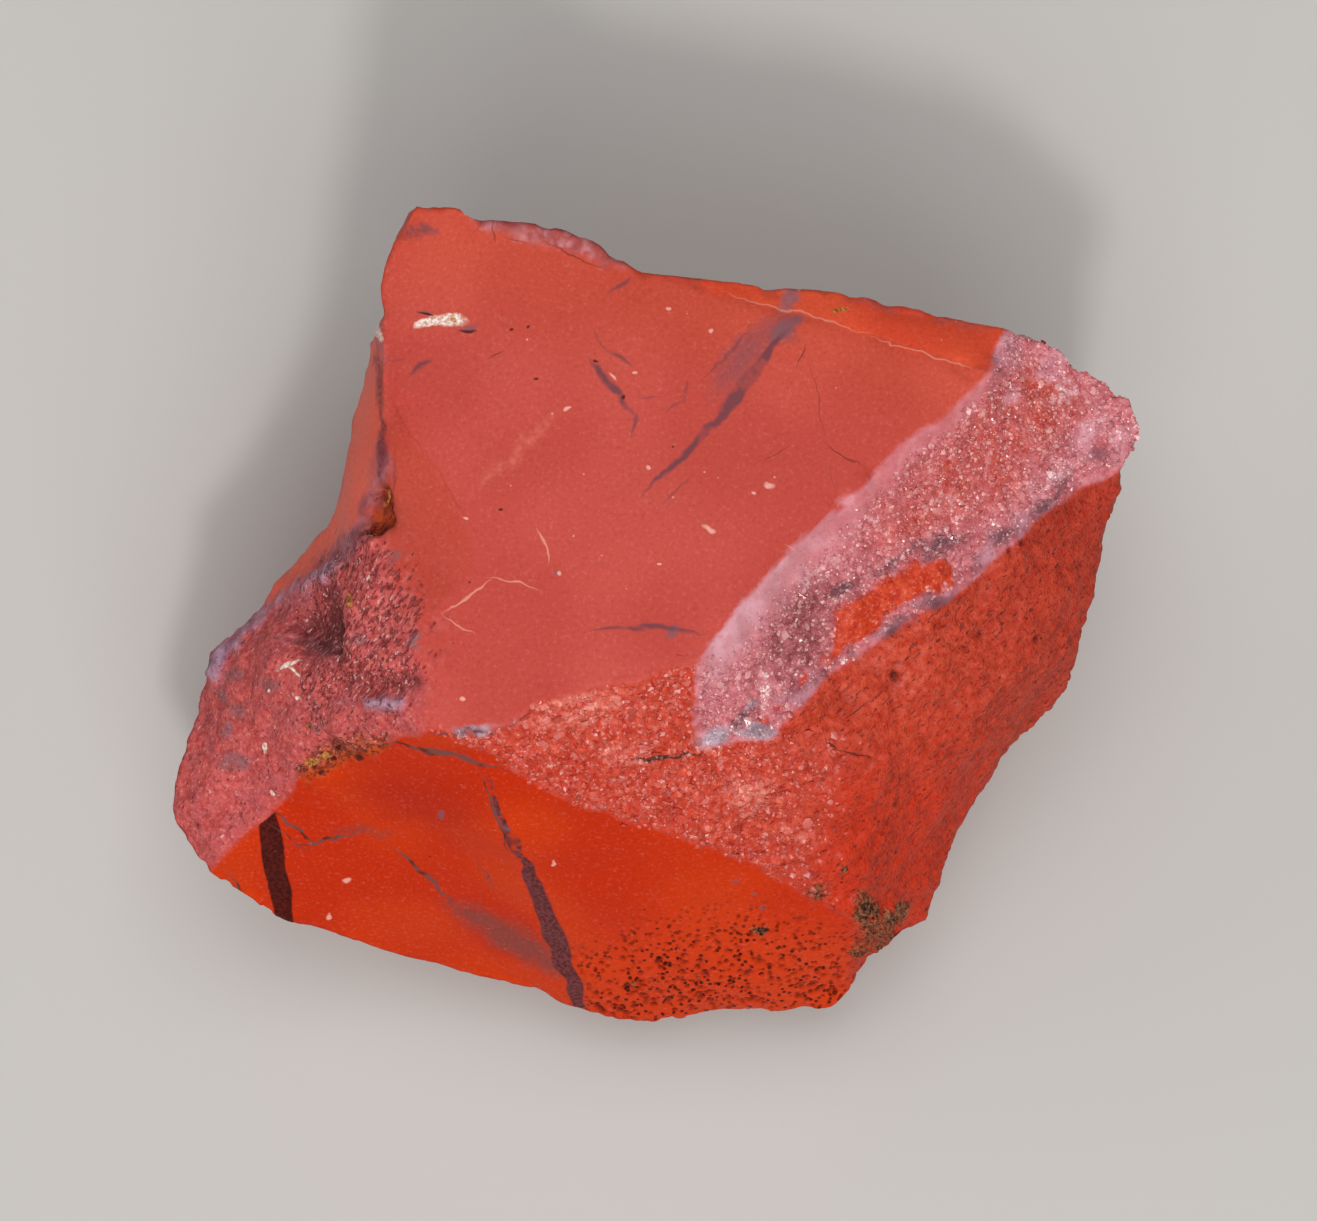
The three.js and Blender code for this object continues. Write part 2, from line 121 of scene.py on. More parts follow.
ORANGE_LENS = [
    (8.5, -2.7), (9.1, -1.7), (9, -0.3), (10.3, 0.7), (11.6, 1.4), (12.8, 2.2), (14.2, 2.9), (15.3, 2.3),
    (15.2, 1.5), (14.4, 1), (13.2, 0.6), (12.3, 0.2), (11.5, -0.7), (10.2, -1.6), (9, -2.4),
]
PITTED = [(-4.4, -18), (-1, -16.4), (4.6, -15.6), (9.9, -16.6), (10.1, -21), (0, -23), (-3.6, -21)]
CRUST = [
    (-9.6, 20.6), (-9.4, 19.7), (-8.8, 19.4), (-6, 18.9), (-3.7, 18.2), (-1.6, 17.5), (-1.2, 18),
    (-3.5, 20), (-8, 21),
]
CAVITY = [(-14.5, 6.6), (-13.95, 6.4), (-13.9, 4.2), (-14.7, 3.8), (-15.5, 3.9), (-15.2, 4.6), (-14.6, 5)]
SPECKLED = [
    (-17.4, 2.6), (-14.8, 4), (-12.6, 2.6), (-11.6, 0.6), (-11.8, -2.4), (-12.4, -3.9), (-15.2, -5),
    (-18.2, -5), (-18.6, -3.4), (-17.2, -2.4), (-18.2, -0.6),
]
VEIN_SKIN = [
    (-14.5, 9), (-13.9, 8), (-14, 6.6), (-14.9, 5.2), (-15.2, 3.4), (-16.2, 2.2), (-17.6, 2.4),
    (-16.6, 3.6), (-15.7, 4.6), (-15.1, 6),
]
PITTED_EDGE = [
    (-18.8, -8.6), (-17.4, -6.8), (-15.4, -6.3), (-13.8, -6.4), (-14.2, -7.2), (-16.4, -7.9), (-18, -9),
]
# The knob's hollow, carved and painted near black as painted shade
SHADED_HOLLOW = [(-18.9, -0.4), (-17.4, 0.4), (-16.6, 0), (-16.4, -2.2), (-17, -3), (-18.2, -1.9)]

# Soft streaks, each as start, end, width at the middle and, if any, how far it bulges to its left
DARK_BAR = [((-21.2, -5.6), (-18.5, -21), 1.45, 0.1)]
FRONT_VEINS = [((-8, -10.4), (-3, -23.4), 1.35, 0.15), ((-9.4, -7), (-7, -14), 0.75)]
FRONT_PURPLE = [((-12, -14.6), (-3.4, -19.8), 2.2, 0.3), ((-17.4, -11.3), (-13, -11.5), 1.1, 0.1)]
KNOB_PATCHES = [
    ((-20.2, -1.2), (-16.2, -2.1), 1.3), ((-20.3, -0.6), (-17, 1.6), 0.9),
    ((-18.6, -4.6), (-13.6, -4.9), 0.7),
]
PURPLE_VEINS = [
    ((-14.6, 16), (-14.2, 12), 0.6), ((9, 16.3), (14.4, 15.1), 0.4), ((13.4, 15.3), (17.8, 14.4), 0.4),
]
PALE_STREAKS = [((-10.2, 5.4), (-4.2, 11.2), 0.9), ((-7.2, 8.9), (-5, 10.2), 0.6)]

# Soft ovals, each as middle, half length, half width and, if any, the angle of its length in degrees
MAUVE_HAZE = [((4.4, 13.2), 3.2, 1, 48), ((6.2, 14.5), 1.2, 0.9, 20)]
LILAC_SPOTS = [((6.8, 16.1), 0.95, 0.5, 55)]
GREY_SHADES = [
    ((14.4, 3.4), 2.1, 0.6, 15), ((4.3, -5.6), 1.3, 0.4, 42), ((9.7, 1.2), 1.3, 0.4, 30),
    ((12, 2.2), 1.4, 0.35, 30), ((14.2, 0.3), 1.2, 0.4, 20), ((12.2, -0.9), 1.1, 0.4, 40),
    ((17.8, 3.9), 1.1, 0.4, 40), ((20, 5.4), 0.9, 0.3, 35), ((-12.1, 19.4), 1.1, 0.4, 5),
]
GREY_NODULES = [
    ((3, -6.5), 1.25, 0.6, 20), ((5.1, -6.2), 1.2, 0.5, 8), ((-9.5, -6.2), 1.6, 0.26, 3),
    ((4.6, -5), 0.5, 0.3, 40),
]
# Painted highlights: patches of pale pink glitter on the band
PAINTED_GLITTER = [
    ((-4.6, -5.1), 3.8, 1.1, 8), ((4.8, -9.6), 1.8, 1.2, -14), ((7.4, -11.6), 1.5, 0.8, -30),
    ((-2, -7.6), 1.6, 0.6, -25),
]
# Painted highlights: patches of near-white sparkle on the bevel's crystals
PAINTED_SPARKLE = [
    ((8.2, 2), 1.5, 0.6, 45), ((20.4, 6.9), 1.6, 0.7, 35), ((5.2, -4.4), 1.2, 0.7, 30),
    ((21, 11.2), 1.2, 0.8, 60), ((14.4, 5.4), 1.2, 0.5, 30), ((10.6, 4.6), 1, 0.4, 45),
    ((3.8, -1.8), 0.9, 0.5, 50),
]
PALE_TIP = [
    ((20.4, 12.6), 1.2, 0.8, 40), ((22.2, 9.2), 1.6, 0.7, 35), ((24, 8.6), 1.3, 0.7, 60),
    ((18.2, 11.2), 0.8, 0.5, 40), ((18, 13.5), 1.4, 0.9, 70),
]
KNOB_GREYS = [
    ((-22, -3.3), 0.8, 0.5, 30), ((-20, -3.9), 0.8, 0.4), ((-22.6, -4.6), 0.4, 0.7, 20),
    ((-21.7, -5.2), 0.8, 0.3, -40), ((-21.8, -7.8), 0.9, 0.55), ((-22.2, -6.2), 0.3, 0.7),
    ((-13.7, 2.8), 0.5, 0.5), ((-12.6, -1.6), 0.7, 0.3, 20), ((-17.6, -5.9), 0.6, 0.3),
    ((-15.6, -1.4), 0.5, 0.3, 30),
]
# Painted shade on the upper left of the front face
FRONT_PAINTED_SHADE = [((-12.5, -9.6), 4.5, 1.8, -12)]

# Crests and gullies of the knob, lines along their middles; the gullies are also painted dark, a painted
# shade
CRESTS = [
    [(-23, -3.2), (-22.4, -1.9), (-21.6, -1.1)],
    [(-21.8, -1.5), (-19.9, 0.4), (-18.6, 1.4), (-16.8, 2.1)], [(-14.8, -4.9), (-13.4, -4.7)],
]
SHADED_GULLIES = [[(-17, 1), (-16.7, -0.4), (-16.9, -1.8)], [(-16.2, -3.6), (-14.4, -3.9), (-12.6, -3.6)]]

# Sharp veins, cracks and hairs, each like a streak
GREY_VEINS = [
    ((6.9, 14.9), (2, 8.5), 0.9), ((5, 12), (-1.3, 5.5), 0.56, 0.12), ((2, 7.1), (-0.5, 5.2), 0.2),
    ((-3.6, 14.5), (-2.4, 13.1), 0.26), ((-2.8, 13.6), (-1.1, 12.5), 0.32),
    ((-3.7, 13.2), (-1.7, 10.6), 0.55), ((-2.3, 11.3), (-0.9, 9.9), 0.45, -0.15),
    ((-1, 10.5), (-1.4, 8.8), 0.36), ((-1.1, 11.1), (0.2, 11), 0.22), ((1.6, 12), (1.2, 10.6), 0.32),
    ((1.4, 11), (0, 10.1), 0.22), ((-2.9, 16.2), (-1.2, 17.4), 0.36),
    ((-14.3, 13.1), (-12.9, 12.8), 0.26), ((-13, 11.9), (-11.5, 13.2), 0.42),
    ((-4.2, -1.2), (3, -1.5), 0.45, 0.5), ((4.8, 14.7), (1.9, 11.5), 0.3, 0.1),
    ((-12.6, -6.35), (-7.4, -6.05), 0.42, -0.1), ((-8.2, -6.2), (-6.2, -4.8), 0.3, -0.1),
]
KNEE_LINE = [((-14.6, 12), (-11.3, 6.6), 0.14, 0.1), ((-12.6, 9), (-8.6, 2.6), 0.16, 0.05)]
HAIRLINES = [
    ((7.7, 13.8), (7, 12.4), 0.17), ((7.9, 13.2), (8.6, 8.4), 0.11), ((5.2, 7.5), (7, 8.7), 0.13),
    ((8.3, 8.8), (11.1, 7.3), 0.18, -0.12), ((8.9, 7.6), (9.1, 5.6), 0.09),
    ((-8.9, 12.9), (-7.8, 13.5), 0.14), ((0.8, -2.2), (1.5, -2.4), 0.12),
    ((-8.6, 20.2), (-8.3, 18.9), 0.16), ((-6.4, 19.3), (-2.2, 17.4), 0.14, -0.1),
    ((-8.1, 19.3), (-6.5, 19), 0.12),
]
RIDGE_VEINS = [
    ((-14.6, 14.2), (-14.2, 8.8), 0.6), ((-14.2, 10.6), (-14.4, 6.2), 0.7),
    ((-13.6, 8.4), (-13.7, 5.2), 0.3),
]
FRONT_CRACKS = [
    ((-20.2, -10.2), (-17.2, -12.3), 0.26), ((-19.2, -12.1), (-15.2, -11.2), 0.26, -0.15),
    ((-9.6, -12.4), (-8.2, -14.8), 0.16), ((-13.9, -11.9), (-10.3, -15.4), 0.3),
    ((-14.9, -6.6), (-7.4, -8.4), 0.26, 0.1), ((-22.3, -13.2), (-21.1, -15.5), 0.2),
    ((-9.3, -8), (-7.6, -12.9), 0.26), ((-20.3, -10.8), (-17.6, -12.6), 0.14, -0.1),
]
HIP_CRACKS = [
    ((8.4, -6.4), (9.6, -7.5), 0.2), ((9, -7.2), (11.4, -7.7), 0.18), ((9.4, -5.9), (11.2, -4.4), 0.14),
    ((-1.9, -7.8), (2.7, -7.4), 0.3),
]
# The two pale lines along the chamfer's lower edge are a painted edge highlight; the others are pale hairs
PALE_HAIRS_AND_EDGE_HIGHLIGHTS = [
    ((-11.4, -0.3), (-8.4, 1.9), 0.17, -0.1), ((-9.2, 1.7), (-5.9, 1), 0.15, 0.15),
    ((-11.3, -0.2), (-9.4, -1.3), 0.14), ((-6.4, 4.5), (-5.7, 2.1), 0.17, 0.2),
    ((2.2, 16.7), (11.8, 14), 0.14, 0.1), ((6.4, 3.5), (7.3, 3), 0.14),
    ((10.4, 14.3), (16.9, 12.3), 0.14),
]

# Sharp spots, each like an oval
GREY_BLOTCHES = [
    ((6.4, 14.5), 1.1, 0.55, 50), ((7.1, 15), 0.6, 0.3), ((0.7, -1.1), 0.5, 0.34, 30),
    ((3.9, -14), 0.24, 0.13), ((5, -14.7), 0.2, 0.13), ((5.4, -15.4), 0.26, 0.13, 10),
    ((-11.2, -10.6), 0.22, 0.16), ((-7.9, -11.2), 0.3, 0.15), ((-12, 15.35), 0.5, 0.14, -10),
    ((-9.8, 14.6), 0.55, 0.18, 10), ((-5.2, 1.9), 0.2, 0.14),
]
PALE_SPECKS = [
    ((0.6, 15.65), 0.17, 0.15), ((2.65, 14.5), 0.16, 0.14), ((-1.2, 12.25), 0.18, 0.12),
    ((-0.55, 7.35), 0.15, 0.15), ((5.8, 6.4), 0.32, 0.17), ((4.8, 6.05), 0.14, 0.1),
    ((2.6, 4.25), 0.45, 0.14, -22), ((-4.7, 10.4), 0.18, 0.17), ((-10, 4.85), 0.16, 0.1),
    ((-5.1, 1.9), 0.14, 0.12), ((0, 2.3), 0.13, 0.1), ((-2.4, 12.15), 0.3, 0.08, -50),
    ((-16.1, -14), 0.28, 0.16), ((-17, -15.8), 0.16, 0.13), ((-5.4, -13.1), 0.13, 0.11),
    ((7.3, 16.6), 0.28, 0.16, 55), ((-15.1, 4.15), 0.15, 0.12), ((-10.1, -4.5), 0.16, 0.12),
]
WHITE_QUARTZ = [
    ((-14.5, 14.5), 0.72, 0.2, -75), ((-10.9, 15), 1.15, 0.42), ((-11.9, 14.85), 0.9, 0.24, 12),
    ((-19.1, -2.75), 0.85, 0.14, 22), ((-18.9, -3.1), 0.45, 0.11, -50), ((-18.6, -4.5), 0.2, 0.13),
    ((-20.3, -7.1), 0.17, 0.28, 20), ((-19.9, -9.5), 0.13, 0.15), ((-14.9, 1.65), 0.17, 0.13, 30),
    ((-20.2, -4.15), 0.16, 0.1, 30),
]
# The first two are painted highlights, white glints on the crystals; the third is a pale quartz crystal
CRUST_QUARTZ_AND_GLINTS = [((5.5, -4.2), 0.3, 0.36, 30), ((5.6, -3.4), 0.25, 0.2), ((9.7, -2.6), 0.6, 0.22, 40)]
OCHRE_SPOTS = [
    ((-10.6, 14.95), 0.22, 0.14), ((-14.3, 5.8), 0.5, 0.14, 80), ((9.4, 15.5), 0.5, 0.16, 8),
    ((-17.9, -7.9), 0.5, 0.2, 20), ((-17.2, -7.5), 0.35, 0.2, 20), ((-16, 0.5), 0.2, 0.35, 10),
]
BROWN_CLUSTERS = [
    ((8.25, -14.5), 0.65, 0.5, 30), ((10.7, -15.6), 0.8, 1.3, 10), ((11.4, -16.7), 1.1, 0.8, 40),
    ((12.2, -15.7), 1.1, 0.6, 35), ((10.4, -17.4), 0.7, 0.5, 20), ((9.6, -13.4), 0.25, 0.2),
    ((5.2, -16.5), 0.45, 0.25), ((-18, -5.9), 0.3, 0.2), ((-1.2, -19.2), 0.25, 0.2),
]
DARK_DOTS = [
    ((-7.6, 14.4), 0.15, 0.1), ((-6.7, 14.6), 0.11, 0.13), ((-6.4, 11.95), 0.17, 0.09),
    ((-8.1, 5.2), 0.22, 0.1, 10), ((-3.2, 12.85), 0.15, 0.1, -40), ((-1.9, 10.95), 0.16, 0.12),
    ((-12, 15.3), 0.6, 0.1, -8), ((-9.9, 14.45), 0.6, 0.13, 8), ((-17.8, -8), 0.24, 0.16, -40),
    ((-17.4, -8.35), 0.2, 0.15), ((-16.8, -7.65), 0.24, 0.15, -50), ((-16.6, -7.15), 0.2, 0.14),
    ((-15.5, -7.6), 0.24, 0.16, -30), ((-14.1, 4.4), 0.3, 0.2, 40), ((-15, 4.2), 0.4, 0.14),
]

# Veins through the hidden part, each as a place in millimetres, the direction it faces and its width
DEEP_VEINS = [
    ((-7, 0, 0), (0.9, 0.15, 0.4), 0.55), ((10, 0, 0), (0.95, -0.1, -0.3), 0.25),
    ((0, 0, 9), (0.12, 0.3, 0.94), 0.3), ((4, 16, 18), (0.8, 0.2, 0.56), 0.16),
    ((-6, 16, 14), (0.5, 0.1, -0.86), 0.14),
]

# Blows that split off the hidden faces: where they struck and which way the face left behind looks
BLOWS = [((4, 19, 24), (0.1, 1, 0)), ((-20, 8, 22), (-0.9, 0.35, 0)), ((24, 4, 4), (0.8, -0.2, -0.5))]
RIPPLE_LENGTH, RIPPLE_HEIGHT = 3.2, 0.16
RIPPLES_WHOLE, RIPPLES_GONE = 6, 34

# The patches with torn borders, and over how many millimetres to each side they fade
PATCHES = {
    "lens": (ORANGE_LENS, 0.12), "dark_druse": (DARK_DRUSE, 0.9), "red_druse": (RED_DRUSE, 1.0),
    "pitted": (PITTED, 1.9), "crust": (CRUST, 0.2), "cavity": (CAVITY, 0.3), "hollow": (SHADED_HOLLOW, 0.8),
    "vein_skin": (VEIN_SKIN, 0.3), "edge_pits": (PITTED_EDGE, 0.3),
}

# Relief in millimetres of each kind of surface: swells, broad lumps, small lumps and packed grains
RELIEF = {
    "flank": (0.05, 0.14, 0.12, 0.09),
    "knob": (0.08, 0.08, 0.09, 0.05),
    "hidden_rough": (0.13, 0.12, 0.1, 0.09),
    "druse": (0, 0.08, 0.06, 0),
    "band": (0, 0.07, 0.1, 0.17),
    "plain": (0.02, 0, 0.005, 0),
}
SWELL_SIZE, BROAD_SIZE, SMALL_SIZE, GRAIN_SIZE = 2.6, 1.3, 0.6, 0.62

# Forms in millimetres: what stands out of the faces or lies below them, the depth of pits and broken edges
FORMS = {"crust": 0.15, "crest": 0.25, "cavity": -0.55, "hollow": -0.7, "dark_druse": -0.12, "shaded_gully": -0.2}
LENS_HEIGHT, CLUSTER_HEIGHT, PIT_DEPTH, BITE_DEPTH = 0.12, 0.3, 0.2, 0.2

# The torn grain beside the knob: its way in degrees, and how far its specks and streaks are drawn out
GRAIN_ANGLE, SPECK_STRETCH, STREAK_STRETCH = 48, 3, 5
# Heights count this much in the pattern of the front's pits, which makes them taller than wide
STEEP_PITS = 0.6

# Edges of the solid stay sharp where they bend by more than these degrees, a little or wholly
SOFT_BEND, SHARP_BEND = 24, 50
SHARPEST_CREASE = 0.85

# Crystals: how many to a square millimetre, their radius, how much they vary, and the share of large ones
BEVEL_CRYSTALS, BEVEL_CRYSTAL_RADIUS = 42.0, 0.1 * MM
BAND_CRYSTALS, BAND_CRYSTAL_RADIUS = 25.0, 0.13 * MM
CRYSTAL_LEAN, CRYSTAL_UNEVENNESS = 0.4, 0.14
LARGE_CRYSTALS, LARGE_CRYSTAL_GROWTH = 0.05, 1.9
SEED = 21

# Refraction of quartz and of the glaze on the broken side, and how rough that glaze is
QUARTZ_IOR, GLAZE_IOR, GLAZE_ROUGHNESS = 1.54, 1.45, 0.3
# The cracks that run over both the stone and its crystals
HIP_CRACK_COLOUR = (72, 36, 24)

# The floor and the studio; each soft light as name, direction from the stone, distance, size and power
FLOOR_REACH = 3.0
FLOOR_COLOUR = (198, 194, 189)
SKY_COLOUR, SKY_STRENGTH = (0.86, 0.92, 1, 1), 0.14
LIGHTS = [
    ("key", (0.08, -0.64, 0.77), 0.8, 0.65, 3.3), ("fill", (-0.85, 0.25, 0.45), 0.8, 0.6, 0.9),
    ("spark", (0.05, -0.6, 0.8), 0.9, 0.09, 2.2), ("overhead", (0, 0.2, 1), 0.6, 0.42, 1.3),
]

# Middle and half size of the whole chart, how many fields across and up it has, and how far marks sway
WHOLE_CHART = ((0.0, -1.5), (27.0, 24.0))
FIELDS = (4, 4)
SWAY = 0.5


def distance_to(line, chart):
    """The distance of each chart point from a line through several points, in millimetres."""
    right, up = chart[:, 0], chart[:, 1]
    nearest = np.full(len(chart), np.inf)
    for (ax, ay), (bx, by) in zip(line, line[1:]):
        dx, dy = bx - ax, by - ay
        along = np.clip(((right - ax) * dx + (up - ay) * dy) / (dx * dx + dy * dy), 0, 1)
        nearest = np.minimum(nearest, np.hypot(right - ax - along * dx, up - ay - along * dy))
    return nearest


def depth_inside(outline, chart):
    """How far inside an outline each chart point lies, in millimetres; outside it is below zero."""
    right, up = chart[:, 0], chart[:, 1]
    closed = outline + outline[:1]
    inside = np.zeros(len(chart), bool)
    for (ax, ay), (bx, by) in zip(closed, closed[1:]):
        if ay != by:
            crossing = (bx - ax) * (up - ay) / (by - ay) + ax
            inside ^= ((ay > up) != (by > up)) & (right < crossing)
    return distance_to(closed, chart) * np.where(inside, 1, -1)


def ease(low, high, values):
    """0 below low, 1 above high, and a smooth rise between them."""
    t = np.clip((values - low) / (high - low), 0, 1)
    return t * t * (3 - 2 * t)


def blend(one, other, share):
    return one + (other - one) * share


def to_chart(points):
    """Millimetres to the right and up on the chart, and towards the viewer, of points in metres."""
    away = points - np.array(VIEW_MIDDLE)
    near = away @ np.array(NEAR_AXIS)
    grow = VIEW_DISTANCE / (VIEW_DISTANCE - near)
    return np.stack([away[:, 0] * grow, away @ np.array(UP_AXIS) * grow, near], axis=1) / MM


def lumps(points, size, shift=0.0):
    """Smooth noise from -1 to 1 with lumps of a size in millimetres, at points in metres."""
    scaled_points = points / (size * MM) + shift
    return np.array([noise.noise(Vector(p)) for p in scaled_points])


def grains(points, size, sharpness=2.2):
    """Rounded grains packed side by side: 1 in a grain's middle, 0 between grains."""
    scaled_points = points / (size * MM)
    gaps = [noise.voronoi(Vector(p))[0] for p in scaled_points]
    return np.array([min(1.0, sharpness * (second - first)) for first, second, *_ in gaps])


def pinholes(points, size, reach):
    """Round holes, one to each cell of a size in millimetres: 1 in a hole's middle, 0 beyond its reach."""
    scaled_points = points / (size * MM)
    nearest = np.array([noise.voronoi(Vector(p))[0][0] for p in scaled_points])
    nearest *= 1 + 0.5 * lumps(points, 2 * size, 71.0)
    return ease(reach / size, 0.35 * reach / size, nearest)


def light_values(red, green, blue):
    """A colour as the eye reads it, 0 to 255, as values of light."""
    values = [value / 255 for value in (red, green, blue)]
    return [v / 12.92 if v <= 0.04045 else ((v + 0.055) / 1.055) ** 2.4 for v in values]


def read(items, name, width, kind=float):
    """One value of every point, edge or face of a mesh, as rows of so many numbers."""
    values = np.empty(len(items) * width, kind)
    items.foreach_get(name, values)
    return values.reshape(-1, width)


def set_attribute(mesh, name, values):
    kind, field = ("FLOAT_VECTOR", "vector") if values.ndim == 2 else ("FLOAT", "value")
    attribute = mesh.attributes.new(name, kind, "POINT")
    attribute.data.foreach_set(field, values.astype(np.float32).ravel())


def add_object(name, data):
    made = bpy.data.objects.new(name, data)
    bpy.context.collection.objects.link(made)
    return made


def unfold(bm):
    """Lays the stone's skin out flat, seen from its six sides, so that its finish can be baked."""
    low, high = np.array(cad_low), np.array(cad_high)
    wide, deep, tall = high - low
    gap = 1 * MM
    sheet = 2 * wide + 3 * gap
    rows = [deep + tall + 2 * gap, deep + gap, 0]
    layer = bm.loops.layers.uv.new("OFBake")
    for face in bm.faces:
        normal = sum((v.normal for v in face.verts), Vector())
        axis = max(range(3), key=lambda i: abs(normal[i]))
        left = 0 if normal[axis] > 0 else wide + gap
        across, upward = [i for i in range(3) if i != axis]
        for loop in face.loops:
            co = loop.vert.co
            u = left + gap + co[across] - low[across]
            v = rows[axis] + gap + co[upward] - low[upward]
            loop[layer].uv = (u / sheet, v / sheet)


def rounded_copy(node):
    """A finer copy of the stone's solid: its faces smoothed, its sharp edges kept and marked."""
    bm = bmesh.new()
    bm.from_mesh(node.data)
    bmesh.ops.remove_doubles(bm, verts=bm.verts, dist=0.002 * MM)
    bm.normal_update()
    unfold(bm)
    sharp = bm.verts.layers.float.new("sharp")
    crease = bm.edges.layers.float.new("crease_edge")
    for edge in bm.edges:
        bend = math.degrees(edge.calc_face_angle(0))
        hardness = min(1.0, max(0.0, (bend - SOFT_BEND) / (SHARP_BEND - SOFT_BEND)))
        edge[crease] = SHARPEST_CREASE * hardness
        for vert in edge.verts:
            vert[sharp] = max(vert[sharp], hardness)
    mesh = bpy.data.meshes.new("fine_stone")
    bm.to_mesh(mesh)
    bm.free()
    if "custom_normal" in mesh.attributes:
        mesh.attributes.remove(mesh.attributes["custom_normal"])
    rough = add_object("fine_stone", mesh)
    finer = rough.modifiers.new("finer", "SUBSURF")
    finer.levels = finer.render_levels = 2
    finer.uv_smooth = "NONE"
    graph = bpy.context.evaluated_depsgraph_get()
    fine = bpy.data.meshes.new_from_object(rough.evaluated_get(graph))
    bpy.data.objects.remove(rough)
    return fine


def refine_patch(mesh, outline):
    """Divides the faces that show inside a patch once more, for its small pits."""
    bm = bmesh.new()
    bm.from_mesh(mesh)
    bm.faces.ensure_lookup_table()
    centres = np.array([f.calc_center_median() for f in bm.faces])
    facing = np.array([f.normal.dot(NEAR_AXIS) for f in bm.faces])
    chosen = np.flatnonzero((depth_inside(outline, to_chart(centres)) > 0) & (facing > 0))
    edges = {edge for number in chosen for edge in bm.faces[number].edges}
    bmesh.ops.subdivide_edges(bm, edges=list(edges), cuts=1, use_grid_fill=True)
    bmesh.ops.triangulate(bm, faces=bm.faces)
    bm.to_mesh(mesh)
    bm.free()


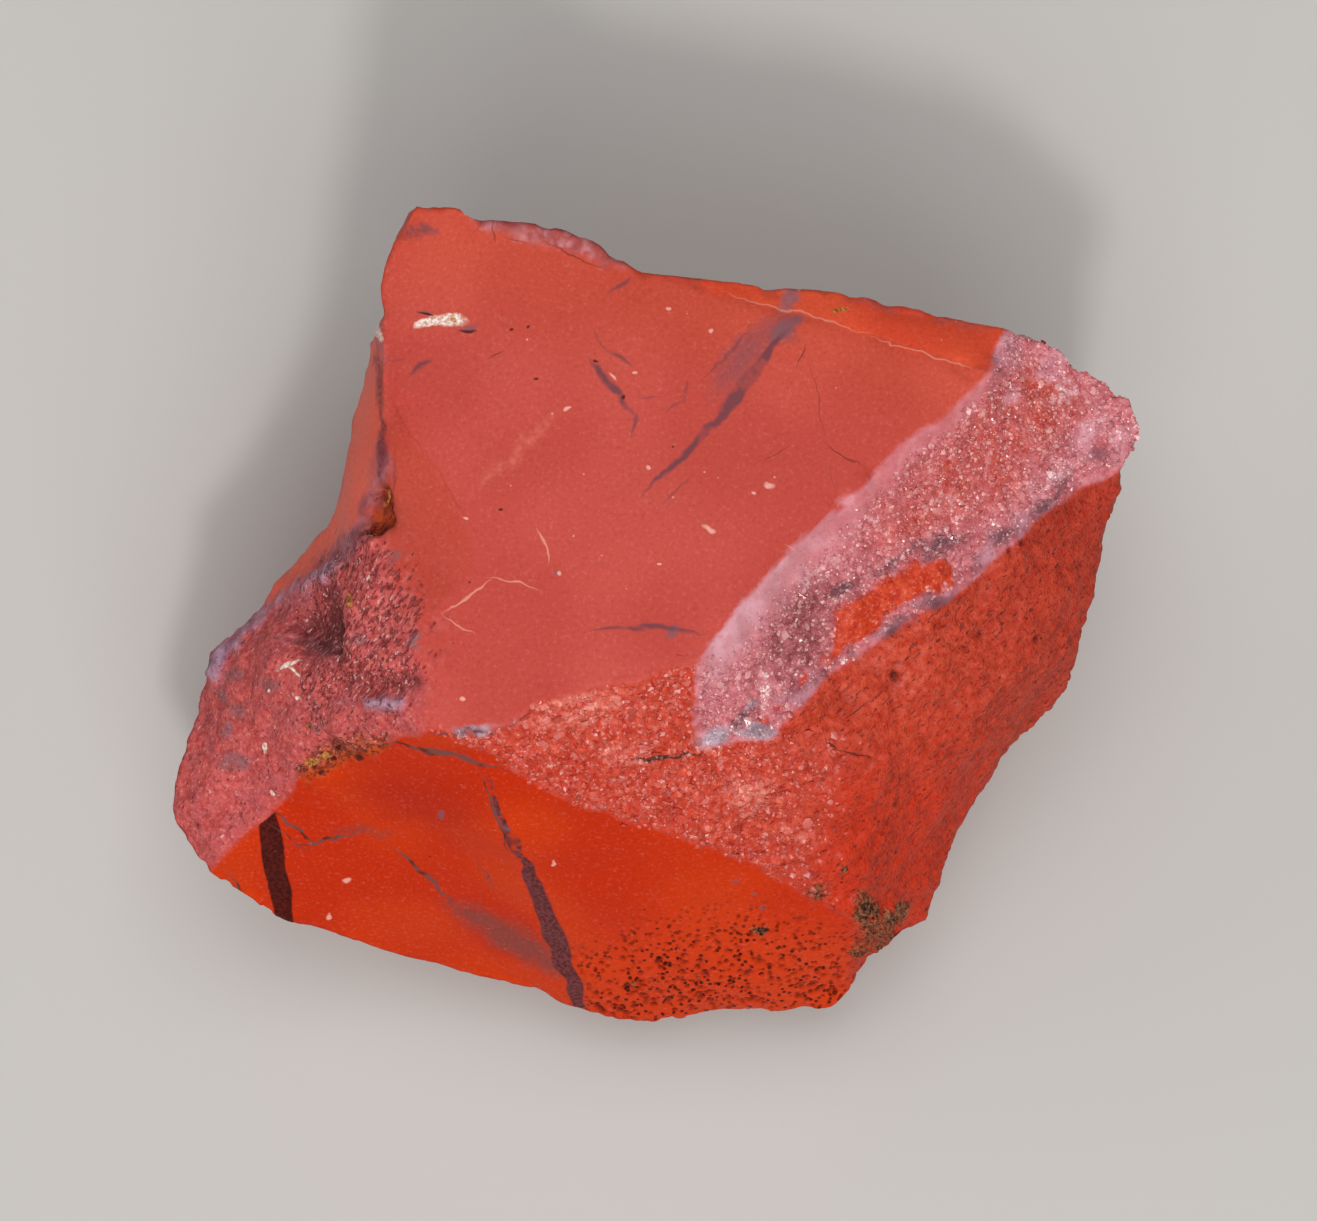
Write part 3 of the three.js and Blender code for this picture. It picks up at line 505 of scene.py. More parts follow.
class Skin:
    """The fine surface before its grain is cut, with the places of everything that is drawn on it."""

    def __init__(self, mesh):
        self.mesh = mesh
        self.points = read(mesh.vertices, "co", 3)
        self.normals = read(mesh.vertices, "normal", 3)
        self.corners = read(mesh.polygons, "vertices", 3, np.int32)
        self.chart = to_chart(self.points)
        self.wander = np.stack([lumps(self.points, 1.6, 5.0), lumps(self.points, 1.6, 11.0)], axis=1)
        self.ragged = np.stack([lumps(self.points, 0.6, 6.0), lumps(self.points, 0.6, 12.0)], axis=1)
        self.broken = lumps(self.points, 1.1, 41.0) + 0.6 * lumps(self.points, 0.45, 43.0)
        self.packed = grains(self.points, GRAIN_SIZE)
        self.drawn = self.chart[:, :2] + 0.3 * self.wander
        self.torn = self.drawn + 0.3 * self.ragged
        self.seen = self.find_seen()
        self.marks = {}
        self.mark_faces()
        self.mark_patches()

    def find_seen(self):
        """1 where the view reaches the surface, 0 where it is turned away or hidden behind the stone."""
        tree = BVHTree.FromPolygons(self.points.tolist(), self.corners.tolist())
        ways = np.array(VIEW_MIDDLE + NEAR_AXIS * VIEW_DISTANCE) - self.points
        ways /= np.linalg.norm(ways, axis=1)[:, None]
        starts = self.points + (self.normals + ways) * 0.05 * MM
        clear = [tree.ray_cast(Vector(start), Vector(way))[0] is None for start, way in zip(starts, ways)]
        seen = ease(0.0, 0.12, (self.normals * ways).sum(axis=1)) * np.array(clear)
        pairs = read(self.mesh.edges, "vertices", 2, np.int32)
        ends = np.concatenate([pairs, pairs[:, ::-1]])
        number = np.bincount(ends[:, 0], minlength=len(seen))
        for _ in range(3):
            near = np.bincount(ends[:, 0], weights=seen[ends[:, 1]], minlength=len(seen)) / number
            seen = np.maximum(seen, near)
        return seen

    def zone(self, outline, soft, torn=False):
        """1 inside an outline, 0 outside it, its border soft by so many millimetres to each side."""
        return ease(-soft, soft, depth_inside(outline, self.torn if torn else self.drawn)) * self.seen

    def ridge(self, line, reach):
        return ease(reach, 0, distance_to(line, self.torn)) * self.seen

    def streaks(self, listed, soft=0.25, place=None):
        """Where listed streaks are; like each oval, a streak is strongest along its middle."""
        total = np.zeros(len(self.points))
        place = self.torn if place is None else place
        for start, end, width, *bulge in listed:
            dx, dy = end[0] - start[0], end[1] - start[1]
            length = math.hypot(dx, dy)
            right, up = place[:, 0] - start[0], place[:, 1] - start[1]
            way = (right * dx + up * dy) / length ** 2
            hump = way * (1 - way)
            off = np.abs((up * dx - right * dy) / length - 4 * sum(bulge) * hump)
            total = np.maximum(total, np.clip((2 * width * hump - off) / soft, 0, 1))
        return total * self.seen

    def ovals(self, listed, soft=0.8):
        total = np.zeros(len(self.points))
        for middle, long, short, *angle in listed:
            turn = math.radians(sum(angle))
            right, up = self.torn[:, 0] - middle[0], self.torn[:, 1] - middle[1]
            u = (right * math.cos(turn) + up * math.sin(turn)) / long
            v = (up * math.cos(turn) - right * math.sin(turn)) / short
            total = np.maximum(total, np.clip((1 - u * u - v * v) / soft, 0, 1))
        return total * self.seen

    def mark_faces(self):
        """Where each kind of face is, from 0 to 1."""
        right, height = self.chart[:, 0], self.points[:, 2] / MM
        to_ridge = distance_to(RIDGE + [(8.6, -3.6)], self.chart) + 0.8 * self.wander[:, 0]
        sugary = ease(0.3, 6.5, to_ridge)
        bevel = self.zone(BEVEL, 0.12)
        front = self.zone(FRONT, 0.12)
        knob = self.zone(KNOB, 0.7, torn=True) * (1 - front)
        whole_band = self.zone(BAND, 0.2)
        hidden = 1 - self.seen
        to_right = ease(0.15, 0.55, self.normals[:, 0])
        to_floor = ease(-0.1, -0.5, self.normals[:, 2])
        flank = np.clip(self.zone(RIGHT, 0.3) + whole_band * (1 - sugary) + hidden * to_right, 0, 1)
        near_floor = ease(10.2, 8.6, height + 3 * lumps(self.points, 7) + 1.4 * self.broken)
        hidden_rough = hidden * np.clip(to_floor + near_floor, 0, 1) * (1 - to_right)
        from_top = distance_to(BEVEL_TOP_EDGE, self.chart)
        from_top += 0.15 * self.wander[:, 0] + 0.25 * self.ragged[:, 1]
        smooth_end = ease(18, 16.4, right) * ease(1.6, 3.2, right)
        rim_width = 2.3 - 1.2 * ease(9, 14, right)
        off_rim = ease(0.2, 1, from_top / rim_width + 1 - smooth_end)
        self.marks.update({
            "seen": self.seen,
            "bevel": bevel,
            "band": whole_band * sugary,
            "front": front,
            "chamfer": self.zone(CHAMFER, 0.12),
            "knob": knob,
            "flank": flank,
            "hidden_rough": hidden_rough,
            "rough": np.clip(knob + flank + hidden_rough, 0, 1),
            "painted_light_strip": self.zone(LEFT_STRIP, 0.25),
            "shaded_knee": self.zone(SHADED_KNEE, 0.2) * (1 - knob),
            "rim": bevel * ease(1, 0.15, from_top / rim_width) * smooth_end,
            "crusted": bevel * ease(0.1, 0.35, depth_inside(BEVEL, self.chart)) * off_rim,
        })

    def mark_patches(self):
        """Where each patch, crest and gully on those faces is, from 0 to 1."""
        marks = self.marks
        for name, (outline, soft) in PATCHES.items():
            marks[name] = self.zone(outline, soft, torn=True)
        marks["edge_pits"] = np.maximum(marks["edge_pits"], marks["cavity"])
        fading = self.broken - 0.3 * ease(15, 22, self.chart[:, 0])
        marks["lilac"] = self.zone(LILAC_BAND, 0.35, torn=True) * ease(-0.35, 0.1, fading)
        marks["crest"] = np.max([self.ridge(line, 0.55) for line in CRESTS], axis=0) * marks["knob"]
        marks["shaded_gully"] = np.max([self.ridge(line, 0.8) for line in SHADED_GULLIES], axis=0) * marks["knob"]
        torn_grain = depth_inside(SPECKLED, self.torn) + 1.3 * self.broken + 1.1 * (self.brushed() - 0.6)
        speckled = ease(-1.4, 1.4, torn_grain) * self.seen + marks["edge_pits"]
        speckled += 0.35 * marks["knob"] + 0.45 * marks["flank"] + 0.3 * marks["hidden_rough"]
        marks["speckled"] = np.clip(speckled, 0, 1)

    def carve(self):
        """Raises and cuts the grain of each kind of surface, and marks the low places, which the paint
        darkens as shade.
        """
        marks, points = self.marks, self.points
        sharp = read(self.mesh.attributes["sharp"].data, "value", 1)[:, 0]
        resting = points[:, 2] < 0.03 * MM
        shapes = [
            lumps(points, SWELL_SIZE, 3.0), lumps(points, BROAD_SIZE, 7.0),
            lumps(points, SMALL_SIZE, 13.0), self.packed - 0.6,
        ]
        covers = dict(marks)
        covers["druse"] = np.clip(marks["band"] + marks["bevel"] * (1 - marks["rim"]), 0, 1)
        covers["plain"] = 1 - np.clip(marks["rough"] + marks["band"] + marks["bevel"], 0, 1)
        relief = RIPPLE_HEIGHT * self.ripples() * covers["plain"] * (1 - self.seen)
        for name, heights in RELIEF.items():
            relief += sum(height * shape for height, shape in zip(heights, shapes)) * covers[name]
        pits = pinholes(points, 1.15, 0.3) * ease(0.1, 0.5, lumps(points, 2.2, 23.0)) * marks["rough"]
        tall = points * (1, 1, STEEP_PITS)
        pocked = marks["pitted"] + 0.35 * lumps(points, 0.9, 37.0)
        reach = 0.11 + 0.07 * ease(-15, -19.5, self.chart[:, 1])
        pits += pinholes(tall, 0.38, reach) * ease(0.25, 0.8, pocked)
        pits += pinholes(points, 0.5, 0.17) * marks["edge_pits"]
        bites = sharp * ease(0.1, 0.5, lumps(points, 1.3, 31.0)) * (1 - 0.6 * marks["rough"])
        forms = LENS_HEIGHT * marks["lens"] * marks["bevel"]
        forms += CLUSTER_HEIGHT * self.ovals(BROWN_CLUSTERS) * self.packed
        forms += sum(height * marks[name] for name, height in FORMS.items())
        height = relief + forms - PIT_DEPTH * pits - BITE_DEPTH * bites
        height[resting] = 0
        moved = points + self.normals * (height * MM)[:, None]
        moved[:, 2] = np.where(resting, 0, np.maximum(moved[:, 2], 0))
        self.mesh.vertices.foreach_set("co", moved.ravel())
        self.mesh.update()
        # Hollows of the relief, to be darkened as painted shade
        hollows = np.clip(-relief / 0.2, 0, 1) * marks["rough"] * (1 - 0.6 * self.seen)
        hollows *= 1 - 0.7 * marks["hidden_rough"]
        marks["low"] = np.clip(PIT_DEPTH / 0.18 * pits + hollows, 0, 1)

    def brushed(self):
        """Short parallel streaks that slant up to the right, as where the rock tore along its grain."""
        turn = math.radians(GRAIN_ANGLE)
        right, back, height = self.points.T
        along = right * math.cos(turn) + back * math.sin(turn)
        across = back * math.cos(turn) - right * math.sin(turn)
        drawn_out = np.stack([along / STREAK_STRETCH, across, height], axis=1)
        return ease(-0.1, 0.35, lumps(drawn_out, 0.4, 81.0))

    def ripples(self):
        """Shell-shaped waves of the hidden fractures, round the point where each blow struck."""
        waves = np.zeros(len(self.points))
        for struck, facing in BLOWS:
            away = np.linalg.norm(self.points / MM - struck, axis=1) + 1.5 * self.wander[:, 0]
            share = ease(0.55, 0.8, self.normals @ np.array(facing))
            share *= ease(RIPPLES_GONE, RIPPLES_WHOLE, away)
            waves += np.sin(away * 2 * math.pi / RIPPLE_LENGTH) * share
        return waves

    def paint(self):
        """The broad colours of every face and patch, point by point, with painted sheen, shade and
        highlights among them.
        """
        marks, points = self.marks, self.points
        knob, flank, front = marks["knob"], marks["flank"], marks["front"]
        band, bevel = marks["band"], marks["bevel"]
        clouds = ease(-0.35, 0.35, lumps(points, 5, 2.0))
        patches = ease(-0.15, 0.25, lumps(points, 0.9, 17.0) + 0.5 * lumps(points, 0.4, 19.0))
        grain = ease(-0.4, 0.4, lumps(points, 0.3, 29.0))
        right, up = self.chart[:, 0], self.chart[:, 1]
        paint = np.zeros((len(points), 3))

        def lay(mask, *shades, over=clouds):
            """Paints a mask with a shade, or with two that change places over a pattern."""
            first, last = (np.array(light_values(*shade)) for shade in (shades[0], shades[-1]))
            tint = blend(first, last, over[:, None])
            paint[:] = blend(paint, tint, np.clip(mask, 0, 1)[:, None])

        # Painted sheen: the pink of this red base stands in part for a broad sheen of the overhead light;
        # the back of the top is painted more orange, with less of it
        lay(np.ones(len(points)), (190, 70, 59), (197, 77, 66))
        lay(ease(9, 19, up + 0.25 * right) * self.seen * 0.9, (197, 72, 50), (204, 78, 54))
        lay(self.streaks(PALE_STREAKS, 0.8) * 0.9, (208, 92, 74), (228, 128, 106), over=grain)
        # Painted shade: the knee facet darker and more orange, with less of the painted sheen
        lay(marks["shaded_knee"] * 0.8, (182, 66, 50), (190, 74, 56))
        hidden = ease(-0.2, 0.5, lumps(points, 8, 51.0)) * (1 - self.seen)
        lay(hidden * 0.7, (176, 56, 44), (154, 58, 56), over=hidden * clouds)
        # Painted light: the steep left strip painted lighter than the top, to offset the shade on it
        lay(marks["painted_light_strip"], (212, 88, 70), (220, 96, 78))
        lay(front, (194, 42, 0), (204, 53, 0))
        # Painted shade: a darker oval on the upper left of the front
        lay(self.ovals(FRONT_PAINTED_SHADE, 1.0) * front, (184, 36, 0))
        lay(marks["pitted"] * front * 0.8, (212, 58, 6))
        lay(marks["chamfer"], (222, 76, 48), (230, 86, 54))
        lay(marks["hidden_rough"], (168, 54, 38), (198, 76, 56), over=grain)
        lay(marks["hidden_rough"] * patches * 0.4, (150, 66, 62))
        lay(flank, (195, 60, 37), (215, 84, 59), over=grain)
        # Painted shade: the flank darker towards its far right, where it turns away, and its lower part a
        # deeper, darker orange
        lay(flank * ease(12, 22, right) * self.seen * 0.5, (170, 48, 34))
        lay(flank * ease(-3, -12, up) * self.seen * 0.8, (206, 48, 14))
        lay(knob, (188, 74, 70), (212, 98, 94), over=grain)
        lay(knob * patches * 0.35, (164, 80, 88))
        lay(self.streaks(KNOB_PATCHES, 0.6) * 0.75 * blend(0.4, 1, grain), (124, 90, 104))
        lay(marks["vein_skin"] * 0.85, (126, 70, 80), (160, 98, 108), over=patches)
        # Painted shade: the gullies of the knob darkened
        lay(marks["shaded_gully"] * blend(0.35, 1, grain), (92, 34, 38))
        lay(marks["crest"] * 0.95, (140, 106, 128), (178, 148, 168), over=patches)
        lay(self.ovals(KNOB_GREYS) * 0.8 * blend(0.5, 1, grain), (126, 96, 100))
        torn = self.zone(SPECKLED, 2.6, torn=True) * self.brushed()
        lay(torn * 0.7, (122, 42, 44), (208, 108, 100), over=grain)
        # Painted shade: the knob's hollow darkened
        lay(marks["hollow"] * 0.75, (72, 30, 36))
        lay(band, (202, 64, 40), (222, 92, 68), over=grain)
        lay(band * (1 - patches) * 0.4, (190, 54, 30))
        # Painted highlights: pale pink glitter in patches of the band
        lay(self.ovals(PAINTED_GLITTER, 1.0) * band * 0.85, (214, 78, 56), (250, 160, 142), over=grain)
        # Painted shade: the gaps between the band's packed grains darkened
        lay(band * ease(0.65, 0.2, self.packed) * 0.45, (176, 40, 24))
        lay(bevel, (193, 99, 104), (219, 133, 140), over=grain)
        lay(bevel * (1 - patches) * 0.25, (168, 78, 82))
        red_druse = marks["red_druse"] * bevel * blend(0.5, 0.9, patches)
        lay(red_druse, (186, 66, 54), (210, 96, 82), over=grain)
        lay(marks["dark_druse"] * bevel * 0.8, (126, 58, 62), (176, 94, 98), over=grain)
        lay(self.ovals(PALE_TIP) * bevel * 0.8, (202, 128, 138), (228, 168, 178), over=patches)
        # Painted highlights: near-white glints in the sparkle patches of the bevel
        painted_glints = ease(0.1, 0.3, lumps(points, 0.22, 61.0))
        lay(self.ovals(PAINTED_SPARKLE) * bevel * painted_glints * 0.9, (238, 202, 206))
        lay(marks["lilac"] * bevel * 0.9, (150, 88, 96), (184, 126, 138), over=patches)
        lay(self.ovals(GREY_SHADES, 1.0) * blend(0.5, 1, grain), (96, 64, 74))
        lay(marks["rim"] * 0.92, (203, 112, 116), (209, 126, 130), over=patches)
        lay(marks["rim"] * ease(12, 4, right) * 0.9, (209, 144, 152), (218, 160, 170), over=patches)
        lay(self.ovals(GREY_NODULES), (150, 126, 138), (190, 166, 178), over=patches)
        lay(self.ovals(SMALL_REDS) * 0.9, (196, 60, 38))
        lay(marks["lens"] * bevel, (186, 50, 26), (210, 74, 42), over=grain)
        lay(marks["crust"] * 0.85, (168, 80, 78), (204, 140, 146), over=grain * patches)
        lay(self.ovals(MAUVE_HAZE, 1.0) * 0.8, (146, 74, 78))
        lay(self.ovals(LILAC_SPOTS) * 0.8, (150, 102, 112))
        lay(self.streaks(PURPLE_VEINS, 0.4) * 0.85, (150, 90, 100))
        lay(self.streaks(FRONT_PURPLE, 0.8) * front * 0.95, (140, 62, 54))
        lay(marks["edge_pits"] * 0.75, (120, 48, 20), (204, 92, 40), over=grain)
        lay(marks["cavity"] * 0.9, (96, 22, 8), (166, 62, 26), over=grain)
        # Painted shade: the pits and the hollows of the relief darkened
        lay(marks["low"] * 0.85, (70, 18, 12))
        marks["tint"] = paint

    def write_marks(self, names):
        """Hands marks over to the materials, with the chart and the two dark veins of the front."""
        steady = self.chart[:, :2] + 0.12 * self.wander
        flat = np.concatenate([self.chart[:, :2], np.ones((len(self.points), 1))], axis=1)
        written = {name: self.marks[name] for name in names}
        written["chart"] = flat
        written["dark_bar"] = self.streaks(DARK_BAR, 0.3, steady) * self.marks["front"]
        written["dark_vein"] = self.streaks(FRONT_VEINS, 0.4, self.drawn) * self.marks["front"]
        for name, values in written.items():
            set_attribute(self.mesh, name, values)


def grow_crystals(skin, names):
    """A crust of small six-sided quartz points, joined in one mesh, each leaning its own way."""
    rng = np.random.default_rng(SEED)
    points, corners = read(skin.mesh.vertices, "co", 3), skin.corners
    a, b, c = (points[corners[:, i]] for i in range(3))
    cross = np.cross(b - a, c - a)
    area = np.linalg.norm(cross, axis=1) / 2
    normal = cross / np.maximum(2 * area, 1e-18)[:, None]

    def on_faces(name):
        return skin.marks[name][corners].mean(axis=1)

    bevel = BEVEL_CRYSTALS * on_faces("crusted") * (1 - on_faces("lens")) * (1 - 0.6 * on_faces("lilac"))
    band = BAND_CRYSTALS * on_faces("band")
    faces = np.flatnonzero(rng.random(len(area)) < (bevel + band) * area / MM ** 2)
    count = len(faces)
    weights = rng.dirichlet((1, 1, 1), count)
    place = sum(weights[:, i, None] * points[corners[faces, i]] for i in range(3))
    on_bevel = on_faces("bevel")[faces] > 0.5
    radius = np.where(on_bevel, BEVEL_CRYSTAL_RADIUS, BAND_CRYSTAL_RADIUS)
    radius = radius * (0.6 + 0.9 * rng.random(count) ** 2)
    radius = np.where(rng.random(count) < LARGE_CRYSTALS, LARGE_CRYSTAL_GROWTH * radius, radius)
    axis = normal[faces] + rng.normal(0, CRYSTAL_LEAN, (count, 3))
    axis /= np.linalg.norm(axis, axis=1)[:, None]
    side = np.cross(axis, rng.normal(0, 1, (count, 3)))
    side /= np.linalg.norm(side, axis=1)[:, None]
    other = np.cross(axis, side)

    turn = np.arange(6) * math.pi / 3
    ring = np.stack([np.cos(turn), np.sin(turn), np.zeros(6)], axis=1)
    shape = np.concatenate([ring, [(0.15, 0.1, 0.6)], [(0, 0, -0.9)]])
    shapes = shape + rng.normal(0, CRYSTAL_UNEVENNESS, (count, len(shape), 3))
    shapes[:, :, 2] *= np.where(on_bevel, 1, 0.5)[:, None]
    basis = np.stack([side, other, axis], axis=1)
    verts = place[:, None] + radius[:, None, None] * np.einsum("nvk,nkj->nvj", shapes, basis)
    after = [(i + 1) % 6 for i in range(6)]
    cell = np.array([(i, after[i], 6) for i in range(6)] + [(after[i], i, 7) for i in range(6)])
    cells = (cell[None] + len(shape) * np.arange(count)[:, None, None]).reshape(-1, 3)
    crust = bpy.data.meshes.new("quartz_crystals")
    crust.from_pydata(verts.reshape(-1, 3).tolist(), [], cells.tolist())
    crust.update()
    for name in names:
        set_attribute(crust, name, np.repeat(on_faces(name)[faces], len(shape), axis=0))
    chart = to_chart(place)
    chart[:, 2] = 1
    set_attribute(crust, "chart", np.repeat(chart, len(shape), axis=0))
    set_attribute(crust, "tone", np.repeat(rng.random(count), len(shape)))
    lay_out(crust, cell, shape, count)
    return add_object("quartz_crystals", crust)


def lay_out(crust, cell, shape, count):
    """Gives each crystal its own tile for baking, its upper half beside its lower half."""
    columns = math.ceil(math.sqrt(count))
    half = shape[:, :2] * 0.22
    upper = half[cell[:6]] + (0.25, 0.5)
    lower = half[cell[6:]] * (-1, 1) + (0.75, 0.5)
    tile = np.concatenate([upper, lower]).reshape(1, -1, 2)
    number = np.arange(count)
    corner = np.stack([number % columns, number // columns], axis=1)
    flat = (tile + corner[:, None]) / columns
    layer = crust.uv_layers.new(name="OFBake")
    layer.uv.foreach_set("vector", flat.astype(np.float32).ravel())


class Wire:
    """A shader socket that takes part in formulas: each operator adds its Math node."""

    tree = None

    def __init__(self, socket):
        self.socket = socket

    @classmethod
    def node(cls, kind, settings, inputs, output=0):
        """Adds a node: its settings first, then a value or a wire for each named or numbered socket."""
        made = cls.tree.nodes.new(kind)
        for name, value in settings.items():
            setattr(made, name, value)
        for name, value in inputs.items():
            if isinstance(value, Wire):
                cls.tree.links.new(value.socket, made.inputs[name])
            else:
                made.inputs[name].default_value = value
        return cls(made.outputs[output])

    @classmethod
    def math(cls, operation, *values, clamp=False):
        settings = {"operation": operation, "use_clamp": clamp}
        return cls.node("ShaderNodeMath", settings, dict(enumerate(values)))

    def __add__(self, other):
        return Wire.math("ADD", self, other)

    def __sub__(self, other):
        return Wire.math("SUBTRACT", self, other)

    def __rsub__(self, other):
        return Wire.math("SUBTRACT", other, self)

    def __mul__(self, other):
        return Wire.math("MULTIPLY", self, other)

    def __truediv__(self, other):
        return Wire.math("DIVIDE", self, other)

    __radd__ = __add__
    __rmul__ = __mul__


def clamped(value):
    return Wire.math("ADD", value, 0.0, clamp=True)


def strongest(one, other):
    return Wire.math("MAXIMUM", one, other)


def rise(value, low, high):
    """0 where a wire is below low, 1 where it is above high, smooth between them."""
    inputs = {"Value": value, "From Min": low, "From Max": high}
    return Wire.node("ShaderNodeMapRange", {"interpolation_type": "SMOOTHSTEP"}, inputs)


def vector(operation, one, other, output="Vector"):
    return Wire.node("ShaderNodeVectorMath", {"operation": operation}, {0: one, 1: other}, output)


def colour(red, green, blue):
    return *light_values(red, green, blue), 1.0


def mixed(factor, one, other):
    """One colour over to another by a factor; each is a wire, or a colour as the eye reads it."""
    one, other = (c if isinstance(c, Wire) else colour(*c) for c in (one, other))
    settings = {"data_type": "RGBA", "clamp_factor": True}
    return Wire.node("ShaderNodeMix", settings, {0: factor, 6: one, 7: other}, 2)


def marked(name, output="Fac"):
    return Wire.node("ShaderNodeAttribute", {"attribute_name": name}, {}, output)


def mottle(place, size, detail=2.0, roughness=0.55):
    """Cloudy noise from 0 to 1, with clouds of a size in millimetres."""
    inputs = {"Vector": place, "Scale": 1 / size, "Detail": detail, "Roughness": roughness}
    return Wire.node("ShaderNodeTexNoise", {}, inputs)


def dots(place, size, reach):
    """Round dots, one at most to each cell of a size in millimetres: 1 in their middle, 0 beyond reach."""
    nearest = Wire.node("ShaderNodeTexVoronoi", {}, {"Vector": place, "Scale": 1 / size})
    return rise(nearest, reach / size, 0.6 * reach / size)


class Drawing:
    """Sharp veins and spots on one field of the chart; the marks that don't reach it are left out."""

    def __init__(self, place, field):
        sway = Wire.node("ShaderNodeTexNoise", {}, {"Vector": place, "Scale": 0.9, "Detail": 2.5}, "Color")
        uneven = vector("MULTIPLY", vector("SUBTRACT", sway, (0.5, 0.5, 0.5)), (0.7, 0.7, 0))
        self.chart = vector("ADD", marked("chart", "Vector"), uneven)
        self.seen = marked("seen")
        self.field = field

    def reaches(self, points, margin):
        """Whether something this wide round these points touches the field."""
        middle, reach = self.field
        return all(
            min(p[i] for p in points) - margin < middle[i] + reach[i]
            and max(p[i] for p in points) + margin > middle[i] - reach[i]
            for i in range(2)
        )

    def along(self, start, direction):
        """How far each point lies from start in a direction, times the direction's length."""
        shift = -(start[0] * direction[0] + start[1] * direction[1])
        return vector("DOT_PRODUCT", self.chart, (direction[0], direction[1], shift), "Value")

    def vein(self, soft, start, end, width, bulge=0.0):
        """A vein from start to end that thins out to both ends."""
        if not self.reaches((start, end), width + abs(bulge) + SWAY):
            return None
        dx, dy = end[0] - start[0], end[1] - start[1]
        length = math.hypot(dx, dy)
        way = self.along(start, (dx / length ** 2, dy / length ** 2))
        aside = self.along(start, (-dy / length, dx / length))
        hump = way * (1 - way)
        off = Wire.math("ABSOLUTE", Wire.math("MULTIPLY_ADD", hump, -4 * bulge, aside))
        return Wire.math("MULTIPLY_ADD", hump, 2 * width / soft, off * (-1 / soft), clamp=True)

    def spot(self, soft, middle, long, short, angle=0.0):
        """An oval spot, long and short its half lengths, turned by an angle in degrees."""
        if not self.reaches((middle,), max(long, short) + SWAY):
            return None
        turn = math.radians(angle)
        u = self.along(middle, (math.cos(turn) / long, math.sin(turn) / long))
        v = self.along(middle, (-math.sin(turn) / short, math.cos(turn) / short))
        spread = Wire.math("MULTIPLY_ADD", v, v, u * u)
        return Wire.math("MULTIPLY_ADD", spread, -1 / soft, 1 / soft, clamp=True)

    def lay(self, base, shape, listed, soft, strength, tint):
        """A colour with all marks of one list laid over it."""
        made = [mark for mark in (shape(soft, *one) for one in listed) if mark is not None]
        if not made:
            return base
        mask = made[0]
        for mark in made[1:]:
            mask = strongest(mask, mark)
        return mixed(mask * self.seen * strength, base, tint)


def start_material(name):
    material = bpy.data.materials.new(name)
    material.use_nodes = True
    material.node_tree.nodes.clear()
    Wire.tree = material.node_tree
    return material


def finish_material(base, roughness, height, specular, glaze=0.0):
    """Wires colour, roughness, a height in millimetres and a thin glaze to one Principled shader."""
    bump = Wire.node("ShaderNodeBump", {}, {"Height": height, "Distance": MM, "Strength": 1.0})
    shader = Wire.node("ShaderNodeBsdfPrincipled", {}, {
        "Base Color": base, "Roughness": roughness, "Normal": bump,
        "IOR": QUARTZ_IOR, "Specular IOR Level": specular,
        "Coat Weight": glaze, "Coat Roughness": GLAZE_ROUGHNESS, "Coat IOR": GLAZE_IOR,
    })
    output = Wire.tree.nodes.new("ShaderNodeOutputMaterial")
    Wire.tree.links.new(shader.socket, output.inputs["Surface"])


def scaled_place():
    """Where a point lies in its piece, in millimetres."""
    place = Wire.node("ShaderNodeTexCoord", {}, {}, "Object")
    return Wire.node("ShaderNodeVectorMath", {"operation": "SCALE"}, {0: place, "Scale": 1 / MM})


def draw_marks(base, draw, grainy, patchy):
    """Veins, cracks, hairs, small pits and single grains of other minerals, laid over a colour in turn."""
    quartz = mixed(grainy, (206, 150, 126), (246, 232, 222))
    ochre = mixed(grainy, (130, 74, 26), (206, 140, 74))
    cluster = mixed(grainy, (50, 20, 12), (158, 100, 66))
    layers = [
        (draw.vein, KNEE_LINE, 0.1, 0.5, (152, 52, 34)),
        (draw.vein, HAIRLINES, 0.06, 0.8, (126, 46, 38)),
        (draw.vein, RIDGE_VEINS, 0.2, 0.45 + 0.5 * grainy, (112, 48, 52)),
        (draw.spot, GREY_BLOTCHES, 0.9, 0.8, (124, 84, 92)),
        (draw.vein, GREY_VEINS, 0.17, 0.5 + 0.4 * patchy, (110, 60, 68)),
        (draw.vein, FRONT_CRACKS, 0.07, 0.9, mixed(patchy, (82, 30, 18), (112, 70, 66))),
        (draw.vein, HIP_CRACKS, 0.07, 0.9, HIP_CRACK_COLOUR),
        # Pale hairs, and a painted highlight along the chamfer's lower edge
        (draw.vein, PALE_HAIRS_AND_EDGE_HIGHLIGHTS, 0.06, 0.75, (232, 150, 132)),
        (draw.spot, DARK_DOTS, 0.8, 0.9, (64, 18, 12)),
        (draw.spot, WHITE_QUARTZ, 0.6, 1.0, quartz),
        (draw.spot, OCHRE_SPOTS, 0.5, 0.9, ochre),
        (draw.spot, BROWN_CLUSTERS, 0.7, 0.55 + 0.45 * patchy, cluster),
        (draw.spot, PALE_SPECKS, 0.8, 0.8, (238, 176, 160)),
    ]
    for layer in layers:
        base = draw.lay(base, *layer)
    return base


